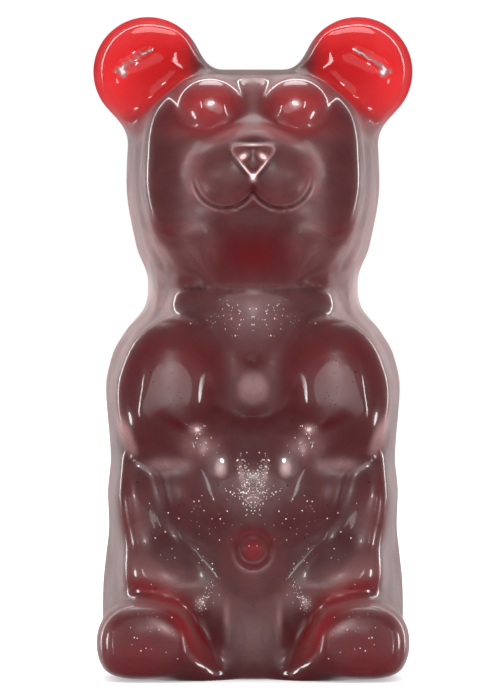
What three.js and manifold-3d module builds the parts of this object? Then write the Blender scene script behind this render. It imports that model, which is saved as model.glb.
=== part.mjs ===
// Giant gummy bear: a seated bear of firm fruit jelly, cast as one piece in an open mould.
//
// The back is the flat of the mould, the sides lean in towards the front by the mould's
// draft, and the front is relief: round ears, domed eyes, a muzzle with a three-cornered
// nose, arms folded on the belly, a navel, bent legs and two broad soles.
//
// The skin is found on a field that is negative inside the bear. Each feature is a simple
// round form, and neighbouring forms melt into each other over a named width.
//
// Millimetres, +Z up, the bear looks along -Y, the origin is the middle of its base.

import * as THREE from 'three';
import { mergeVertices } from 'three/addons/utils/BufferGeometryUtils.js';
import Module from 'manifold-3d';

// ---------------------------------------------------------------- driving dimensions

const HEIGHT = 241.3; // base to the top of the ears, 9.5 in
const DEPTH = 89; // nose and soles to the flat back, 3.5 in

const BACK = DEPTH / 2; // y of the flat back
const FRONT = - DEPTH / 2; // y that the rims of the soles reach

// Half width of the flat back at each height, without the ears.
const OUTLINE = [
	[ - 10, 53.5 ], [ 0, 54.5 ], [ 22, 56 ], [ 31, 55.8 ], [ 41, 54.8 ], [ 53, 53.6 ], [ 65, 54 ],
	[ 77, 53 ], [ 104, 54.7 ], [ 116, 52.3 ], [ 125, 47.2 ], [ 134, 40.3 ], [ 139, 39.2 ],
	[ 143, 39.2 ], [ 156, 43.5 ], [ 180, 47.2 ], [ 202, 46 ], [ 230, 40 ],
];

// Draft at each height: how far the sides lean in for each millimetre towards the front.
const DRAFT = [
	[ 0, 0.12 ], [ 40, 0.11 ], [ 58, 0.075 ], [ 84, 0.075 ], [ 104, 0.10 ], [ 124, 0.12 ], [ 230, 0.12 ],
];
const HEAD_TOP = 221.4;
const TOP_DRAFT = 0.03; // how far the top of the head leans in for each millimetre towards the front
const HEAD_CORNER = 16; // how softly the sides turn into the top of the head
const BASE_CORNER = 14; // how softly they turn into the base

const EAR = { x: 38.9, z: HEIGHT - 20.6, radius: 20.6, melt: 9 };

// Level of the plain front at each height: y at its side edge, and how much it crowns.
const FRONT_EDGE = [
	[ 0, - 12 ], [ 34, - 13 ], [ 60, - 15 ], [ 106, - 14 ], [ 118, - 9 ], [ 130, - 4 ],
	[ 141, - 3 ], [ 150, - 6 ], [ 163, - 12 ], [ 185, - 12 ], [ 200, - 10 ], [ 220, - 7 ],
];
const FRONT_CROWN = [
	[ 0, 5 ], [ 34, 6 ], [ 60, 8 ], [ 106, 7 ], [ 124, 4 ], [ 145, 5 ], [ 163, 8 ], [ 185, 8 ],
	[ 200, 5 ], [ 220, 4 ],
];

// Half width of the plain front at each height, up to where the arch above the face springs.
const FRONT_OUTLINE = [
	[ 0, 62 ], [ 116, 60 ], [ 124, 42 ], [ 131, 31 ], [ 139, 28.5 ], [ 147, 30.5 ], [ 156, 37 ],
	[ 166, 41.5 ], [ 176, 43.5 ],
];
const ARCH = { springing: 176, halfWidth: 43.5, rise: 41, squareness: 3.1 };
const FRONT_CORNER = 9;

// The ears and the shoulders stand behind the face. Each ear is a low dome.
const EAR_LEVEL = { y: 22, x: 45.2, z: 225.2, lean: 26.5, along: 0.010, across: 0.018, melt: 10 };
const SHOULDER_LEVEL = { y: 2, top: 196 };

// Rounded forms in the order in which they join. An oval has a centre, half sizes and a lean
// in degrees. A limb runs between two points with a radius at each. A pad has an oval outline
// and a face that crowns, and may slope back downwards or, with a minus, upwards. x is mirrored.
const FORMS = [
	{
		name: 'eye', melt: 3,
		pad: { at: [ 15.6, - 22.5, 205.6 ], half: [ 13.4, 11.2 ], lean: - 4, crown: 8, slope: 0.12, edge: 6 },
	},
	{
		name: 'muzzle', melt: 16,
		pad: { at: [ 0, - 32.5, 172 ], half: [ 27, 26 ], lean: 0, crown: 4, slope: 0.12, edge: 22 },
	},
	{
		name: 'nose_root', melt: 6,
		pad: { at: [ 0, - 35.2, 184.5 ], half: [ 12, 11.6 ], lean: 0, crown: 1.5, slope: 0, edge: 8 },
	},
	{
		name: 'cheek', melt: 7,
		pad: { at: [ 9.8, - 34.8, 180.2 ], half: [ 11.4, 10.8 ], lean: 0, crown: 4, slope: 0, edge: 7 },
	},
	{ name: 'throat', limb: { from: [ 0, - 6, 158 ], to: [ 0, - 3, 144 ], radius: [ 21, 18 ] }, melt: 10 },
	{
		name: 'neck', melt: 6,
		pad: { at: [ 0, - 15, 132 ], half: [ 30, 22 ], lean: 0, crown: 4, slope: - 0.3, edge: 6 },
	},
	{ name: 'chest', oval: { at: [ 0, 1, 107 ], half: [ 38, 26, 36 ], lean: 0 }, melt: 8 },
	{ name: 'belly', oval: { at: [ 0, - 8, 68 ], half: [ 39, 28, 28 ], lean: 0 }, melt: 6 },
	{ name: 'lower_belly', oval: { at: [ 0, - 8, 50 ], half: [ 27, 26, 29 ], lean: 0 }, melt: 8 },
	{ name: 'forearm', limb: { from: [ 35, - 16, 92 ], to: [ 18, - 25, 85 ], radius: [ 12, 8.5 ] }, melt: 9 },
	{ name: 'thigh', oval: { at: [ 42, - 10, 60 ], half: [ 14, 17, 25 ], lean: - 20 }, melt: 6 },
	{ name: 'shin', oval: { at: [ 30, - 12, 34.5 ], half: [ 25, 20, 13 ], lean: 20 }, melt: 11 },
	{ name: 'between_feet', oval: { at: [ 0, - 6, 12 ], half: [ 36, 22, 20 ], lean: 0 }, melt: 8 },
	{ name: 'seat_front', oval: { at: [ 0, - 8, 34 ], half: [ 16, 24, 34 ], lean: 0 }, melt: 10 },
	{
		name: 'seat', melt: 5,
		pad: { at: [ 0, - 31, - 6 ], half: [ 12.4, 38 ], lean: 0, crown: 1.5, slope: 0, edge: 4 },
	},
];

// The upper arm bulges past the mould's wall, and so do the foot and the instep on its inner
// side, so they join after the wall has cut the rest.
const UPPER_ARM = { oval: { at: [ 30.5, - 20, 104.5 ], half: [ 17.8, 10.5, 24 ], lean: 6 }, melt: 9 };
const INSTEP = { oval: { at: [ 25, - 25, 7 ], half: [ 17, 13, 8 ], lean: 32 }, melt: 6 };

// A foot is a rounded pad with a slightly hollow sole and a round heel.
const FOOT = { x: 38.2, z: 13.4, halfWidth: 17.4, halfHeight: 15.4, squareness: 2.25, edge: 14, melt: 6 };
const SOLE = { x: 38.4, y: FRONT - 1.3, z: 14, halfWidth: 11.2, halfHeight: 10.2 };
const HOLLOW = { depth: 1.3, edge: 1.2 };
const HEEL = { y: 14, round: 24, baseCorner: 5 };

// The nose is a three-cornered pad with its point down and two dimples.
const NOSE = { z: 185.3, top: 5.2, side: 4.8, corner: 5, y: - 42.5, depth: 14, melt: 1.4 };
const NOSE_SIDE_SLOPE = [ 0.756, 0.655 ];
const NOSE_FACE = { crown: 0.02, edge: 2.6 };
const NOSTRIL = { x: 3.5, z: 186.6, size: 1.9, depth: 1.1 };

// Lines pressed into the front: half width of the line and its depth.
const MOUTH = { x: 10, z: 179, radius: 10.8, top: 177, width: 0.75, depth: 1.3 };
const NECK_LINE = { z: 139.6, halfLength: 30, width: 1.2, depth: 1 };
const NAVEL = { z: 46.7, radius: 4.6, width: 1.9, depth: 2.2 };
const EAR_CREASE = { from: [ 50.6, 0, 219.6 ], to: [ 38, 0, 227.4 ], width: 1, depth: 0.7 };

// Rounding where the relief meets the mould's wall.
const SIDE_ROUND = 7.5;
const TOP_ROUND = 4.5;
const EAR_ROUND = 13;
const ROUND_TURNS = { z: 206, x: 29 }; // where the rounding turns from one to the next

const BACK_SPARE = 8; // how far behind the flat back the skin closes before it is cut there
const ON_THE_BASE = 0.02; // points this near the level base are set on it

// Spacing of the net that the skin is drawn on: finer at the face and at the front.
const NET = {
	x: [ [ 0, 3 ], [ 24, 4.4 ], [ 66, 4.4 ] ],
	y: [ [ - 49, 3.8 ], [ - 9, 8.4 ], [ 60, 8.4 ] ],
	z: [ [ - 3, 4.5 ], [ 170, 3.1 ], [ 214, 4.5 ], [ 250, 4.5 ] ],
};

// ---------------------------------------------------------------- field building blocks

/** Joins two forms; they melt into each other where their distances differ by less than width. */
function melt( a, b, width ) {

	const share = Math.max( width - Math.abs( a - b ), 0 ) / width;
	return Math.min( a, b ) - share * share * width / 4;

}

/** Keeps what is inside both forms, with the edge between them rounded over width. */
function clip( a, b, width ) {

	return - melt( - a, - b, width );

}

/** A soft step from 0 to 1 at t = 0. */
function softStep( t ) {

	return 1 / ( 1 + Math.exp( - THREE.MathUtils.clamp( t, - 40, 40 ) ) );

}

/** A bell of height 1 at t = 0. */
function bell( t ) {

	return Math.exp( - t * t );

}

/** A smooth curve through [ position, value ] points that never overshoots them. */
function profile( points ) {

	const last = points.length - 1;
	const rise = points.slice( 1 ).map( ( p, i ) =>
		( p[ 1 ] - points[ i ][ 1 ] ) / ( p[ 0 ] - points[ i ][ 0 ] ) );
	const slope = points.map( ( p, i ) => {

		if ( i === 0 ) return rise[ 0 ];
		if ( i === last ) return rise[ last - 1 ];
		if ( rise[ i - 1 ] * rise[ i ] <= 0 ) return 0;
		const before = p[ 0 ] - points[ i - 1 ][ 0 ];
		const after = points[ i + 1 ][ 0 ] - p[ 0 ];
		const w1 = 2 * after + before;
		const w2 = after + 2 * before;
		return ( w1 + w2 ) / ( w1 / rise[ i - 1 ] + w2 / rise[ i ] );

	} );

	return ( position ) => {

		let i = 0;
		while ( i < last - 1 && position > points[ i + 1 ][ 0 ] ) i ++;
		const span = points[ i + 1 ][ 0 ] - points[ i ][ 0 ];
		const t = THREE.MathUtils.clamp( ( position - points[ i ][ 0 ] ) / span, 0, 1 );
		return ( 1 + 2 * t ) * ( 1 - t ) ** 2 * points[ i ][ 1 ]
			+ t * ( 1 - t ) ** 2 * span * slope[ i ]
			+ t * t * ( 3 - 2 * t ) * points[ i + 1 ][ 1 ]
			+ t * t * ( t - 1 ) * span * slope[ i + 1 ];

	};

}

/** Where a point lies from a centre, in an XZ plane that leans by some degrees: [ along, up ]. */
function leaning( p, at, lean ) {

	const angle = THREE.MathUtils.degToRad( lean );
	const dx = p.x - at[ 0 ];
	const dz = p.z - at[ 2 ];
	return [
		Math.cos( angle ) * dx + Math.sin( angle ) * dz,
		Math.cos( angle ) * dz - Math.sin( angle ) * dx,
	];

}

/** Distance to an oval, leaning in the XZ plane. */
function oval( p, { at, half, lean } ) {

	const [ x, z ] = leaning( p, at, lean );
	const y = p.y - at[ 1 ];
	const size = Math.hypot( x / half[ 0 ], y / half[ 1 ], z / half[ 2 ] );
	const pull = Math.hypot( x / half[ 0 ] ** 2, y / half[ 1 ] ** 2, z / half[ 2 ] ** 2 );
	return size * ( size - 1 ) / ( pull + 1e-9 );

}

/** Distance to a low pad on the front: an oval outline, and a face that crowns and may slope. */
function pad( p, { at, half, lean, crown, slope, edge } ) {

	const [ x, z ] = leaning( p, at, lean );
	const size = Math.hypot( x / half[ 0 ], z / half[ 1 ] );
	const pull = Math.hypot( x / half[ 0 ] ** 2, z / half[ 1 ] ** 2 );
	const outline = size * ( size - 1 ) / ( pull + 1e-9 );
	const face = at[ 1 ] + crown * Math.min( size * size, 2.5 ) - slope * ( p.z - at[ 2 ] );
	return clip( outline, face - p.y, edge );

}

/** Distance to a limb: a round bar between two points, tapering from one radius to the other. */
function limb( p, { from, to, radius } ) {

	const start = new THREE.Vector3( ...from );
	const along = new THREE.Vector3( ...to ).sub( start );
	const t = THREE.MathUtils.clamp( p.clone().sub( start ).dot( along ) / along.lengthSq(), 0, 1 );
	const nearest = start.addScaledVector( along, t );
	return p.distanceTo( nearest ) - THREE.MathUtils.lerp( radius[ 0 ], radius[ 1 ], t );

}

/** Distance to one rounded form. */
function formDistance( p, form ) {

	if ( form.oval ) return oval( p, form.oval );
	return form.limb ? limb( p, form.limb ) : pad( p, form.pad );

}

// ---------------------------------------------------------------- the bear's parts

const halfWidthAt = profile( OUTLINE );
const draftAt = profile( DRAFT );
const frontEdgeAt = profile( FRONT_EDGE );
const frontCrownAt = profile( FRONT_CROWN );
const frontOutlineAt = profile( FRONT_OUTLINE );

/** How far a point lies outside a side whose half width changes with height. */
function beyondSide( p, widthAt ) {

	const slope = widthAt( p.z + 0.5 ) - widthAt( p.z - 0.5 );
	return ( p.x - widthAt( p.z ) ) / Math.hypot( 1, slope );

}

/** The mould's wall: the flat back's outline, drawn in towards the front, and the level base. */
function mouldWall( p ) {

	const drawnIn = draftAt( p.z ) * ( BACK - p.y );
	const side = beyondSide( p, halfWidthAt ) + drawnIn;
	const top = p.z - HEAD_TOP + TOP_DRAFT * ( BACK - p.y );
	const ear = Math.hypot( p.x - EAR.x, p.z - EAR.z ) - EAR.radius + drawnIn;
	const sides = melt( clip( side, top, HEAD_CORNER ), ear, EAR.melt );
	return clip( sides, - p.z, BASE_CORNER );

}

/** The plain front of body and face, closed above the face by an arch, half a superellipse. */
function plainFront( p ) {

	const across = THREE.MathUtils.clamp( p.x / halfWidthAt( p.z ), 0, 1 );
	const level = frontEdgeAt( p.z ) - frontCrownAt( p.z ) * ( 1 - across * across );
	if ( p.z <= ARCH.springing ) return clip( level - p.y, beyondSide( p, frontOutlineAt ), FRONT_CORNER );
	const power = ARCH.squareness;
	const size = ( p.x / ARCH.halfWidth ) ** power + ( ( p.z - ARCH.springing ) / ARCH.rise ) ** power;
	return clip( level - p.y, ( size ** ( 1 / power ) - 1 ) * ARCH.halfWidth, FRONT_CORNER );

}

/** The level behind the face that carries the ears, each a low dome, and the shoulders below. */
function earLevel( p ) {

	const angle = THREE.MathUtils.degToRad( EAR_LEVEL.lean );
	const dx = p.x - EAR_LEVEL.x;
	const dz = p.z - EAR_LEVEL.z;
	const along = Math.sin( angle ) * dz - Math.cos( angle ) * dx;
	const across = Math.sin( angle ) * dx + Math.cos( angle ) * dz;
	const setBack = EAR_LEVEL.along * along ** 2 + EAR_LEVEL.across * across ** 2;
	const ear = EAR_LEVEL.y + Math.min( setBack, 8 );
	const up = softStep( ( p.z - SHOULDER_LEVEL.top ) / 2.5 );
	return 0.85 * ( THREE.MathUtils.lerp( SHOULDER_LEVEL.y, ear, up ) - p.y );

}

/** A foot: a rounded pad with a round heel, whose sole looks forward and is slightly hollow. */
function foot( p ) {

	const across = Math.abs( p.x - FOOT.x ) / FOOT.halfWidth;
	const up = Math.abs( p.z - FOOT.z ) / FOOT.halfHeight;
	const size = ( across ** FOOT.squareness + up ** FOOT.squareness ) ** ( 1 / FOOT.squareness );
	const inSole = Math.hypot( ( p.x - SOLE.x ) / SOLE.halfWidth, ( p.z - SOLE.z ) / SOLE.halfHeight );
	const hollow = HOLLOW.depth * softStep( ( 1 - inSole ) * SOLE.halfHeight / HOLLOW.edge );
	const front = clip( ( size - 1 ) * FOOT.halfHeight, SOLE.y + hollow - p.y, FOOT.edge );
	return clip( clip( front, p.y - HEEL.y, HEEL.round ), - p.z, HEEL.baseCorner );

}

/** The nose: a crowned three-cornered pad with its point down. */
function nose( p ) {

	const down = NOSE.z - p.z;
	const sideLine = NOSE_SIDE_SLOPE[ 0 ] * p.x + NOSE_SIDE_SLOPE[ 1 ] * down - NOSE.side;
	const outline = clip( - down - NOSE.top, sideLine, NOSE.corner );
	const face = NOSE.y + NOSE_FACE.crown * ( p.x * p.x + down * down ) - p.y;
	return clip( clip( outline, face, NOSE_FACE.edge ), p.y - NOSE.y - NOSE.depth, 1 );

}

/** How much is pressed out by the mouth, the neck line, the navel, the nostrils and the ears' creases. */
function pressedLines( p ) {

	const lip = Math.hypot( p.x - MOUTH.x, p.z - MOUTH.z ) - MOUTH.radius;
	const mouth = MOUTH.depth * bell( lip / MOUTH.width ) * softStep( ( MOUTH.top - p.z ) / 1.3 );
	const neck = NECK_LINE.depth * bell( ( p.z - NECK_LINE.z ) / NECK_LINE.width )
		* softStep( ( NECK_LINE.halfLength - p.x ) / 1.5 ) * softStep( - p.y / 3 );
	const ring = Math.hypot( p.x, p.z - NAVEL.z ) - NAVEL.radius;
	const navel = NAVEL.depth * bell( ring / NAVEL.width );
	const dimple = Math.hypot( p.x - NOSTRIL.x, p.z - NOSTRIL.z ) / NOSTRIL.size;
	const onFront = softStep( ( - p.y - 18 ) / 2 );
	const fromCrease = limb( new THREE.Vector3( p.x, 0, p.z ), { ...EAR_CREASE, radius: [ 0, 0 ] } );
	const crease = EAR_CREASE.depth * bell( fromCrease / EAR_CREASE.width ) * softStep( ( 34 - p.y ) / 2 );
	return neck + crease + onFront * ( mouth + navel + NOSTRIL.depth * bell( dimple ) );

}

/**
 * The whole bear, closed a little behind its flat back: negative inside, zero on the skin,
 * and elsewhere about the distance to the skin in millimetres.
 */
function bear( point ) {

	const p = new THREE.Vector3( Math.sqrt( point.x * point.x + 0.5 ), point.y, point.z );
	let d = melt( plainFront( p ), earLevel( p ), EAR_LEVEL.melt );
	for ( const form of FORMS ) d = melt( d, formDistance( p, form ), form.melt );
	d = melt( d, nose( p ), NOSE.melt );
	const up = softStep( ( p.z - ROUND_TURNS.z ) / 3 );
	const inEar = up * softStep( ( p.x - ROUND_TURNS.x ) / 2 );
	const round = THREE.MathUtils.lerp( SIDE_ROUND, TOP_ROUND, up ) + inEar * ( EAR_ROUND - TOP_ROUND );
	d = clip( d, mouldWall( p ), round );
	d = melt( d, formDistance( p, UPPER_ARM ), UPPER_ARM.melt );
	d = melt( d, foot( p ), FOOT.melt );
	d = melt( d, formDistance( p, INSTEP ), INSTEP.melt );
	return Math.max( d, p.y - BACK - BACK_SPARE, - p.z ) + pressedLines( p );

}

// ---------------------------------------------------------------- the skin

/** Positions of the net's planes along one axis, from [ start, spacing ] stretches. */
function planes( stretches ) {

	const out = [];
	for ( let i = 0; i < stretches.length - 1; i ++ ) {

		const [ start, spacing ] = stretches[ i ];
		const length = stretches[ i + 1 ][ 0 ] - start;
		const count = Math.round( length / spacing );
		for ( let k = 0; k < count; k ++ ) out.push( start + length * k / count );

	}

	out.push( stretches[ stretches.length - 1 ][ 0 ] );
	return out;

}

/** The field's slope at a point, by central differences. */
function slopeAt( p ) {

	const h = 0.05;
	return new THREE.Vector3( ...[ 'x', 'y', 'z' ].map( ( axis ) => {

		const ahead = p.clone();
		const behind = p.clone();
		ahead[ axis ] += h;
		behind[ axis ] -= h;
		return ( bear( ahead ) - bear( behind ) ) / ( 2 * h );

	} ) );

}

/** Moves a point onto the skin along the field's slope, a few short steps. */
function ontoSkin( p, steps ) {

	for ( let i = 0; i < steps; i ++ ) {

		const slope = slopeAt( p );
		const move = slope.multiplyScalar( - bear( p ) / ( slope.lengthSq() + 1e-6 ) );
		p.add( move.clampLength( 0, 0.8 ) );

	}

	return p;

}

/** Calls back with each cell's lowest corner. */
function forEachCell( count, visit ) {

	for ( let i = 0; i < count[ 0 ] - 1; i ++ )
		for ( let j = 0; j < count[ 1 ] - 1; j ++ )
			for ( let k = 0; k < count[ 2 ] - 1; k ++ ) visit( i, j, k );

}

const TURNS = [ [ 0, 1, 2 ], [ 1, 2, 0 ], [ 2, 0, 1 ] ]; // an axis and the two that follow it

/**
 * Where two opposite corners of a cell's side are inside and the other two are outside, the
 * skin would touch itself there, so the corner nearest the skin changes over.
 */
function settleCorners( field, count, index ) {

	for ( let changed = true; changed; ) {

		changed = false;
		forEachCell( count, ( i, j, k ) => {

			for ( const [ , u, v ] of TURNS ) {

				const side = [ [ 0, 0 ], [ 1, 0 ], [ 1, 1 ], [ 0, 1 ] ].map( ( [ du, dv ] ) => {

					const at = [ i, j, k ];
					at[ u ] += du;
					at[ v ] += dv;
					return index( ...at );

				} );
				const [ a, b, c, d ] = side.map( ( at ) => field[ at ] < 0 );
				if ( a !== c || b !== d || a === b ) continue;
				side.sort( ( one, other ) => Math.abs( field[ one ] ) - Math.abs( field[ other ] ) );
				field[ side[ 0 ] ] *= - 1;
				changed = true;

			}

		} );

	}

}

/**
 * Draws the skin as a closed net: one point in each cell that the skin passes through,
 * and one four-sided patch across each cell edge that crosses it.
 */
function drawNet( xs, ys, zs ) {

	const count = [ xs.length, ys.length, zs.length ];
	const index = ( i, j, k ) => ( i * count[ 1 ] + j ) * count[ 2 ] + k;
	const field = new Float64Array( count[ 0 ] * count[ 1 ] * count[ 2 ] );
	const corner = ( i, j, k ) => new THREE.Vector3( xs[ i ], ys[ j ], zs[ k ] );
	for ( let i = 0; i < count[ 0 ]; i ++ )
		for ( let j = 0; j < count[ 1 ]; j ++ )
			for ( let k = 0; k < count[ 2 ]; k ++ ) field[ index( i, j, k ) ] = bear( corner( i, j, k ) );
	settleCorners( field, count, index );

	const points = [];
	const pointOfCell = new Map();
	const steps = [ [ 1, 0, 0 ], [ 0, 1, 0 ], [ 0, 0, 1 ] ];
	const edges = [];
	for ( let i = 0; i < 2; i ++ )
		for ( let j = 0; j < 2; j ++ )
			for ( let k = 0; k < 2; k ++ )
				for ( const s of steps )
					if ( i + s[ 0 ] < 2 && j + s[ 1 ] < 2 && k + s[ 2 ] < 2 )
						edges.push( [ [ i, j, k ], [ i + s[ 0 ], j + s[ 1 ], k + s[ 2 ] ] ] );

	forEachCell( count, ( i, j, k ) => {

		const sum = new THREE.Vector3();
		let crossings = 0;
		for ( const [ a, b ] of edges ) {

			const va = field[ index( i + a[ 0 ], j + a[ 1 ], k + a[ 2 ] ) ];
			const vb = field[ index( i + b[ 0 ], j + b[ 1 ], k + b[ 2 ] ) ];
			if ( ( va < 0 ) === ( vb < 0 ) ) continue;
			const pa = corner( i + a[ 0 ], j + a[ 1 ], k + a[ 2 ] );
			const pb = corner( i + b[ 0 ], j + b[ 1 ], k + b[ 2 ] );
			sum.add( pa.lerp( pb, va / ( va - vb ) ) );
			crossings ++;

		}

		if ( crossings === 0 ) return;
		pointOfCell.set( index( i, j, k ), points.length );
		points.push( sum.divideScalar( crossings ) );

	} );

	const patches = [];
	forEachCell( count, ( i, j, k ) => {

		for ( const [ along, u, v ] of TURNS ) {

			const a = [ i, j, k ];
			if ( a[ u ] === 0 || a[ v ] === 0 ) continue;
			const b = [ i, j, k ];
			b[ along ] ++;
			const insideA = field[ index( ...a ) ] < 0;
			const insideB = field[ index( ...b ) ] < 0;
			if ( insideA === insideB ) continue;
			const around = [ [ 1, 1 ], [ 0, 1 ], [ 0, 0 ], [ 1, 0 ] ].map( ( [ du, dv ] ) => {

				const cell = [ ...a ];
				cell[ u ] -= du;
				cell[ v ] -= dv;
				return pointOfCell.get( index( ...cell ) );

			} );
			patches.push( insideA ? around : around.reverse() );

		}

	} );

	return { points, patches };

}

/** Evens out the net: each point slides along the skin towards its neighbours' middle. */
function evenOut( { points, patches }, rounds, amount ) {

	for ( let round = 0; round < rounds; round ++ ) {

		const sums = points.map( () => new THREE.Vector3() );
		const counts = points.map( () => 0 );
		for ( const patch of patches )
			patch.forEach( ( point, i ) => {

				const next = patch[ ( i + 1 ) % 4 ];
				sums[ point ].add( points[ next ] );
				sums[ next ].add( points[ point ] );
				counts[ point ] ++;
				counts[ next ] ++;

			} );
		points.forEach( ( p, i ) => {

			const shift = sums[ i ].divideScalar( counts[ i ] ).sub( p );
			const normal = slopeAt( p ).normalize();
			shift.addScaledVector( normal, - shift.dot( normal ) );
			ontoSkin( p.addScaledVector( shift, amount ), 1 );

		} );

	}

}

/** The bear's closed skin as a geometry of triangles, each patch split on its shorter diagonal. */
function skinGeometry() {

	const half = planes( NET.x );
	const xs = [ ...half.slice( 1 ).reverse().map( ( x ) => - x ), ...half ];
	const net = drawNet( xs, planes( NET.y ), planes( NET.z ) );
	net.points.forEach( ( p ) => ontoSkin( p, 4 ) );
	evenOut( net, 3, 0.5 );
	net.points.forEach( ( p ) => ontoSkin( p, 3 ) );
	for ( const p of net.points ) if ( Math.abs( p.z ) < ON_THE_BASE ) p.z = 0;

	const triangles = [];
	for ( const [ a, b, c, d ] of net.patches ) {

		const ac = net.points[ a ].distanceTo( net.points[ c ] );
		const bd = net.points[ b ].distanceTo( net.points[ d ] );
		if ( ac < bd ) triangles.push( a, b, c, a, c, d );
		else triangles.push( a, b, d, b, c, d );

	}

	const geometry = new THREE.BufferGeometry();
	geometry.setFromPoints( net.points );
	geometry.setIndex( triangles );
	return geometry;

}

/** A solid for cutting, from a closed geometry. */
function solidFrom( wasm, geometry ) {

	const bare = geometry.clone();
	bare.deleteAttribute( 'normal' );
	bare.deleteAttribute( 'uv' );
	const merged = mergeVertices( bare );
	return new wasm.Manifold( new wasm.Mesh( {
		numProp: 3,
		vertProperties: new Float32Array( merged.attributes.position.array ),
		triVerts: new Uint32Array( merged.index.array ),
	} ) );

}

/** The skin, cut off level along the flat of the mould. */
async function bearGeometry() {

	const wasm = await Module();
	wasm.setup();
	const reach = 2 * HEIGHT;
	const beyond = new THREE.BoxGeometry( reach, reach, 2 * reach ).translate( 0, BACK + reach / 2, 0 );
	const cut = solidFrom( wasm, skinGeometry() ).subtract( solidFrom( wasm, beyond ) ).getMesh();
	const geometry = new THREE.BufferGeometry();
	geometry.setAttribute( 'position', new THREE.BufferAttribute( cut.vertProperties, cut.numProp ) );
	geometry.setIndex( new THREE.BufferAttribute( cut.triVerts, 1 ) );
	geometry.computeVertexNormals();
	return geometry;

}

// ---------------------------------------------------------------- the scene graph

const gummyGel = new THREE.MeshStandardMaterial( { color: 0x6d1d22, roughness: 0.14, metalness: 0 } );

const bearMesh = new THREE.Mesh( await bearGeometry(), gummyGel );
bearMesh.name = 'gummy_bear';

const gummyBear = new THREE.Group();
gummyBear.add( bearMesh );

export default gummyBear;
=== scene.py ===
"""Giant gummy bear: a seated bear of firm cherry jelly, cast in one piece with a flat back.

The skin is found on a field that is negative inside the bear, zero on the skin and elsewhere
about the distance to it. Simple round forms melt into each other over named widths, as warm
jelly does in its mould. The field is worked out on a whole grid at once, the skin is drawn
through the grid's cells, and its points are then settled on the skin.

Sizes are in millimetres and turn into metres only where a mesh is made. +Z is up, the bear
looks along -Y, and the origin is the middle of its base.
"""

import logging
import math
from dataclasses import dataclass
from enum import Enum
from typing import Callable

import bpy
import numpy as np
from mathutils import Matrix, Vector


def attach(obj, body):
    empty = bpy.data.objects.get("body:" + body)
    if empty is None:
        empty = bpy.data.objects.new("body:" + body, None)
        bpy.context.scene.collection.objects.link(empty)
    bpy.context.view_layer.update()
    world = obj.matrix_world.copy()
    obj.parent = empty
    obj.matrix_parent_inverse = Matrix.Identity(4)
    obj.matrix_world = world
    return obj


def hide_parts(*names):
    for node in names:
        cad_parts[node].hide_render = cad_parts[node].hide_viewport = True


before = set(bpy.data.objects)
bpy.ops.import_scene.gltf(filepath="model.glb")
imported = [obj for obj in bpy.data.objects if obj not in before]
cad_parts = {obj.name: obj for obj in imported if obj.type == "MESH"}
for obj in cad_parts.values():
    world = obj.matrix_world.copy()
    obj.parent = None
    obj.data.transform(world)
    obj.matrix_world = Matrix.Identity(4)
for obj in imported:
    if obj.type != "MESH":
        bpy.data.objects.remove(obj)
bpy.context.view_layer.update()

MM = 0.001
HEIGHT = 241.3
BACK = 44.5
FRONT = -44.5
FAR = 1000
TINY = 1e-9

Array = np.ndarray
Field = Callable[[Array, Array, Array], Array]
Colour = tuple[float, float, float]
Faces = Array | list[list[int]]
Socket = bpy.types.NodeSocket
Node = bpy.types.Node
Settings = dict[str, object] | None
Inputs = dict[int | str, object] | None

log = logging.getLogger("gummy_bear")


# ---- field building blocks


def melt(a: Array, b: Array, width: float) -> Array:
    """Joins two forms, which melt into each other where their distances differ by less than width.

    The lesser of the two, less a quarter of width times the square of how near they are to
    being equal, from 0 at a difference of width to 1 at no difference.

    Args:
        a: Distances to one form.
        b: Distances to the other form.
        width: The difference below which they melt.

    Returns:
        Distances to the joined form.
    """
    share = np.maximum(width - np.abs(a - b), 0.0) / width
    return np.minimum(a, b) - share * share * width / 4


def clip(a: Array, b: Array, width: float | Array) -> Array:
    """Keeps what is inside both forms, with the edge between them rounded over width.

    Args:
        a: Distances to one form.
        b: Distances to the other form.
        width: How far the rounding reaches.

    Returns:
        Distances to what the two forms share.
    """
    return -melt(-a, -b, width)


def soft_step(t: Array, far: float = 40) -> Array:
    """A soft step from 0 to 1 at t = 0: one over one plus e to the minus t, which counts up to far."""
    return 1 / (1 + np.exp(-np.clip(t, -far, far)))


def bell(t: Array) -> Array:
    """A bell of height 1 at t = 0: e to the minus t squared."""
    return np.exp(-t * t)


def turned(dx: Array, dz: Array, lean: float) -> tuple[Array, Array]:
    """Steps across and up, as seen in a frame that leans by so many degrees.

    With c and s the lean's cosine and sine, they are c across plus s up, and c up less s across.

    Args:
        dx: Steps across.
        dz: Steps up.
        lean: The frame's lean in degrees.

    Returns:
        The steps along the frame's two axes.
    """
    angle = math.radians(lean)
    return math.cos(angle) * dx + math.sin(angle) * dz, -math.sin(angle) * dx + math.cos(angle) * dz


def squarish(a: Array, b: Array, power: float) -> Array:
    """The size of a superellipse: the root, of that power, of the sum of both shares' powers."""
    return (a**power + b**power) ** (1 / power)


@dataclass(frozen=True)
class Fade:
    """A soft change at a level, most of which happens within three softnesses of it."""

    level: float
    softness: float

    def above(self, value: Array) -> Array:
        """1 well above the level and 0 well below it."""
        return soft_step((value - self.level) / self.softness)

    def below(self, value: Array) -> Array:
        """1 well below the level and 0 well above it."""
        return soft_step((self.level - value) / self.softness)


@dataclass(frozen=True)
class Band:
    """A bell-shaped band along a line: its distance from the line, its width and its height."""

    middle: float
    width: float
    height: float

    def across(self, distance: Array) -> Array:
        """The band's height at a distance from the line."""
        return self.height * bell((distance - self.middle) / self.width)


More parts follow.
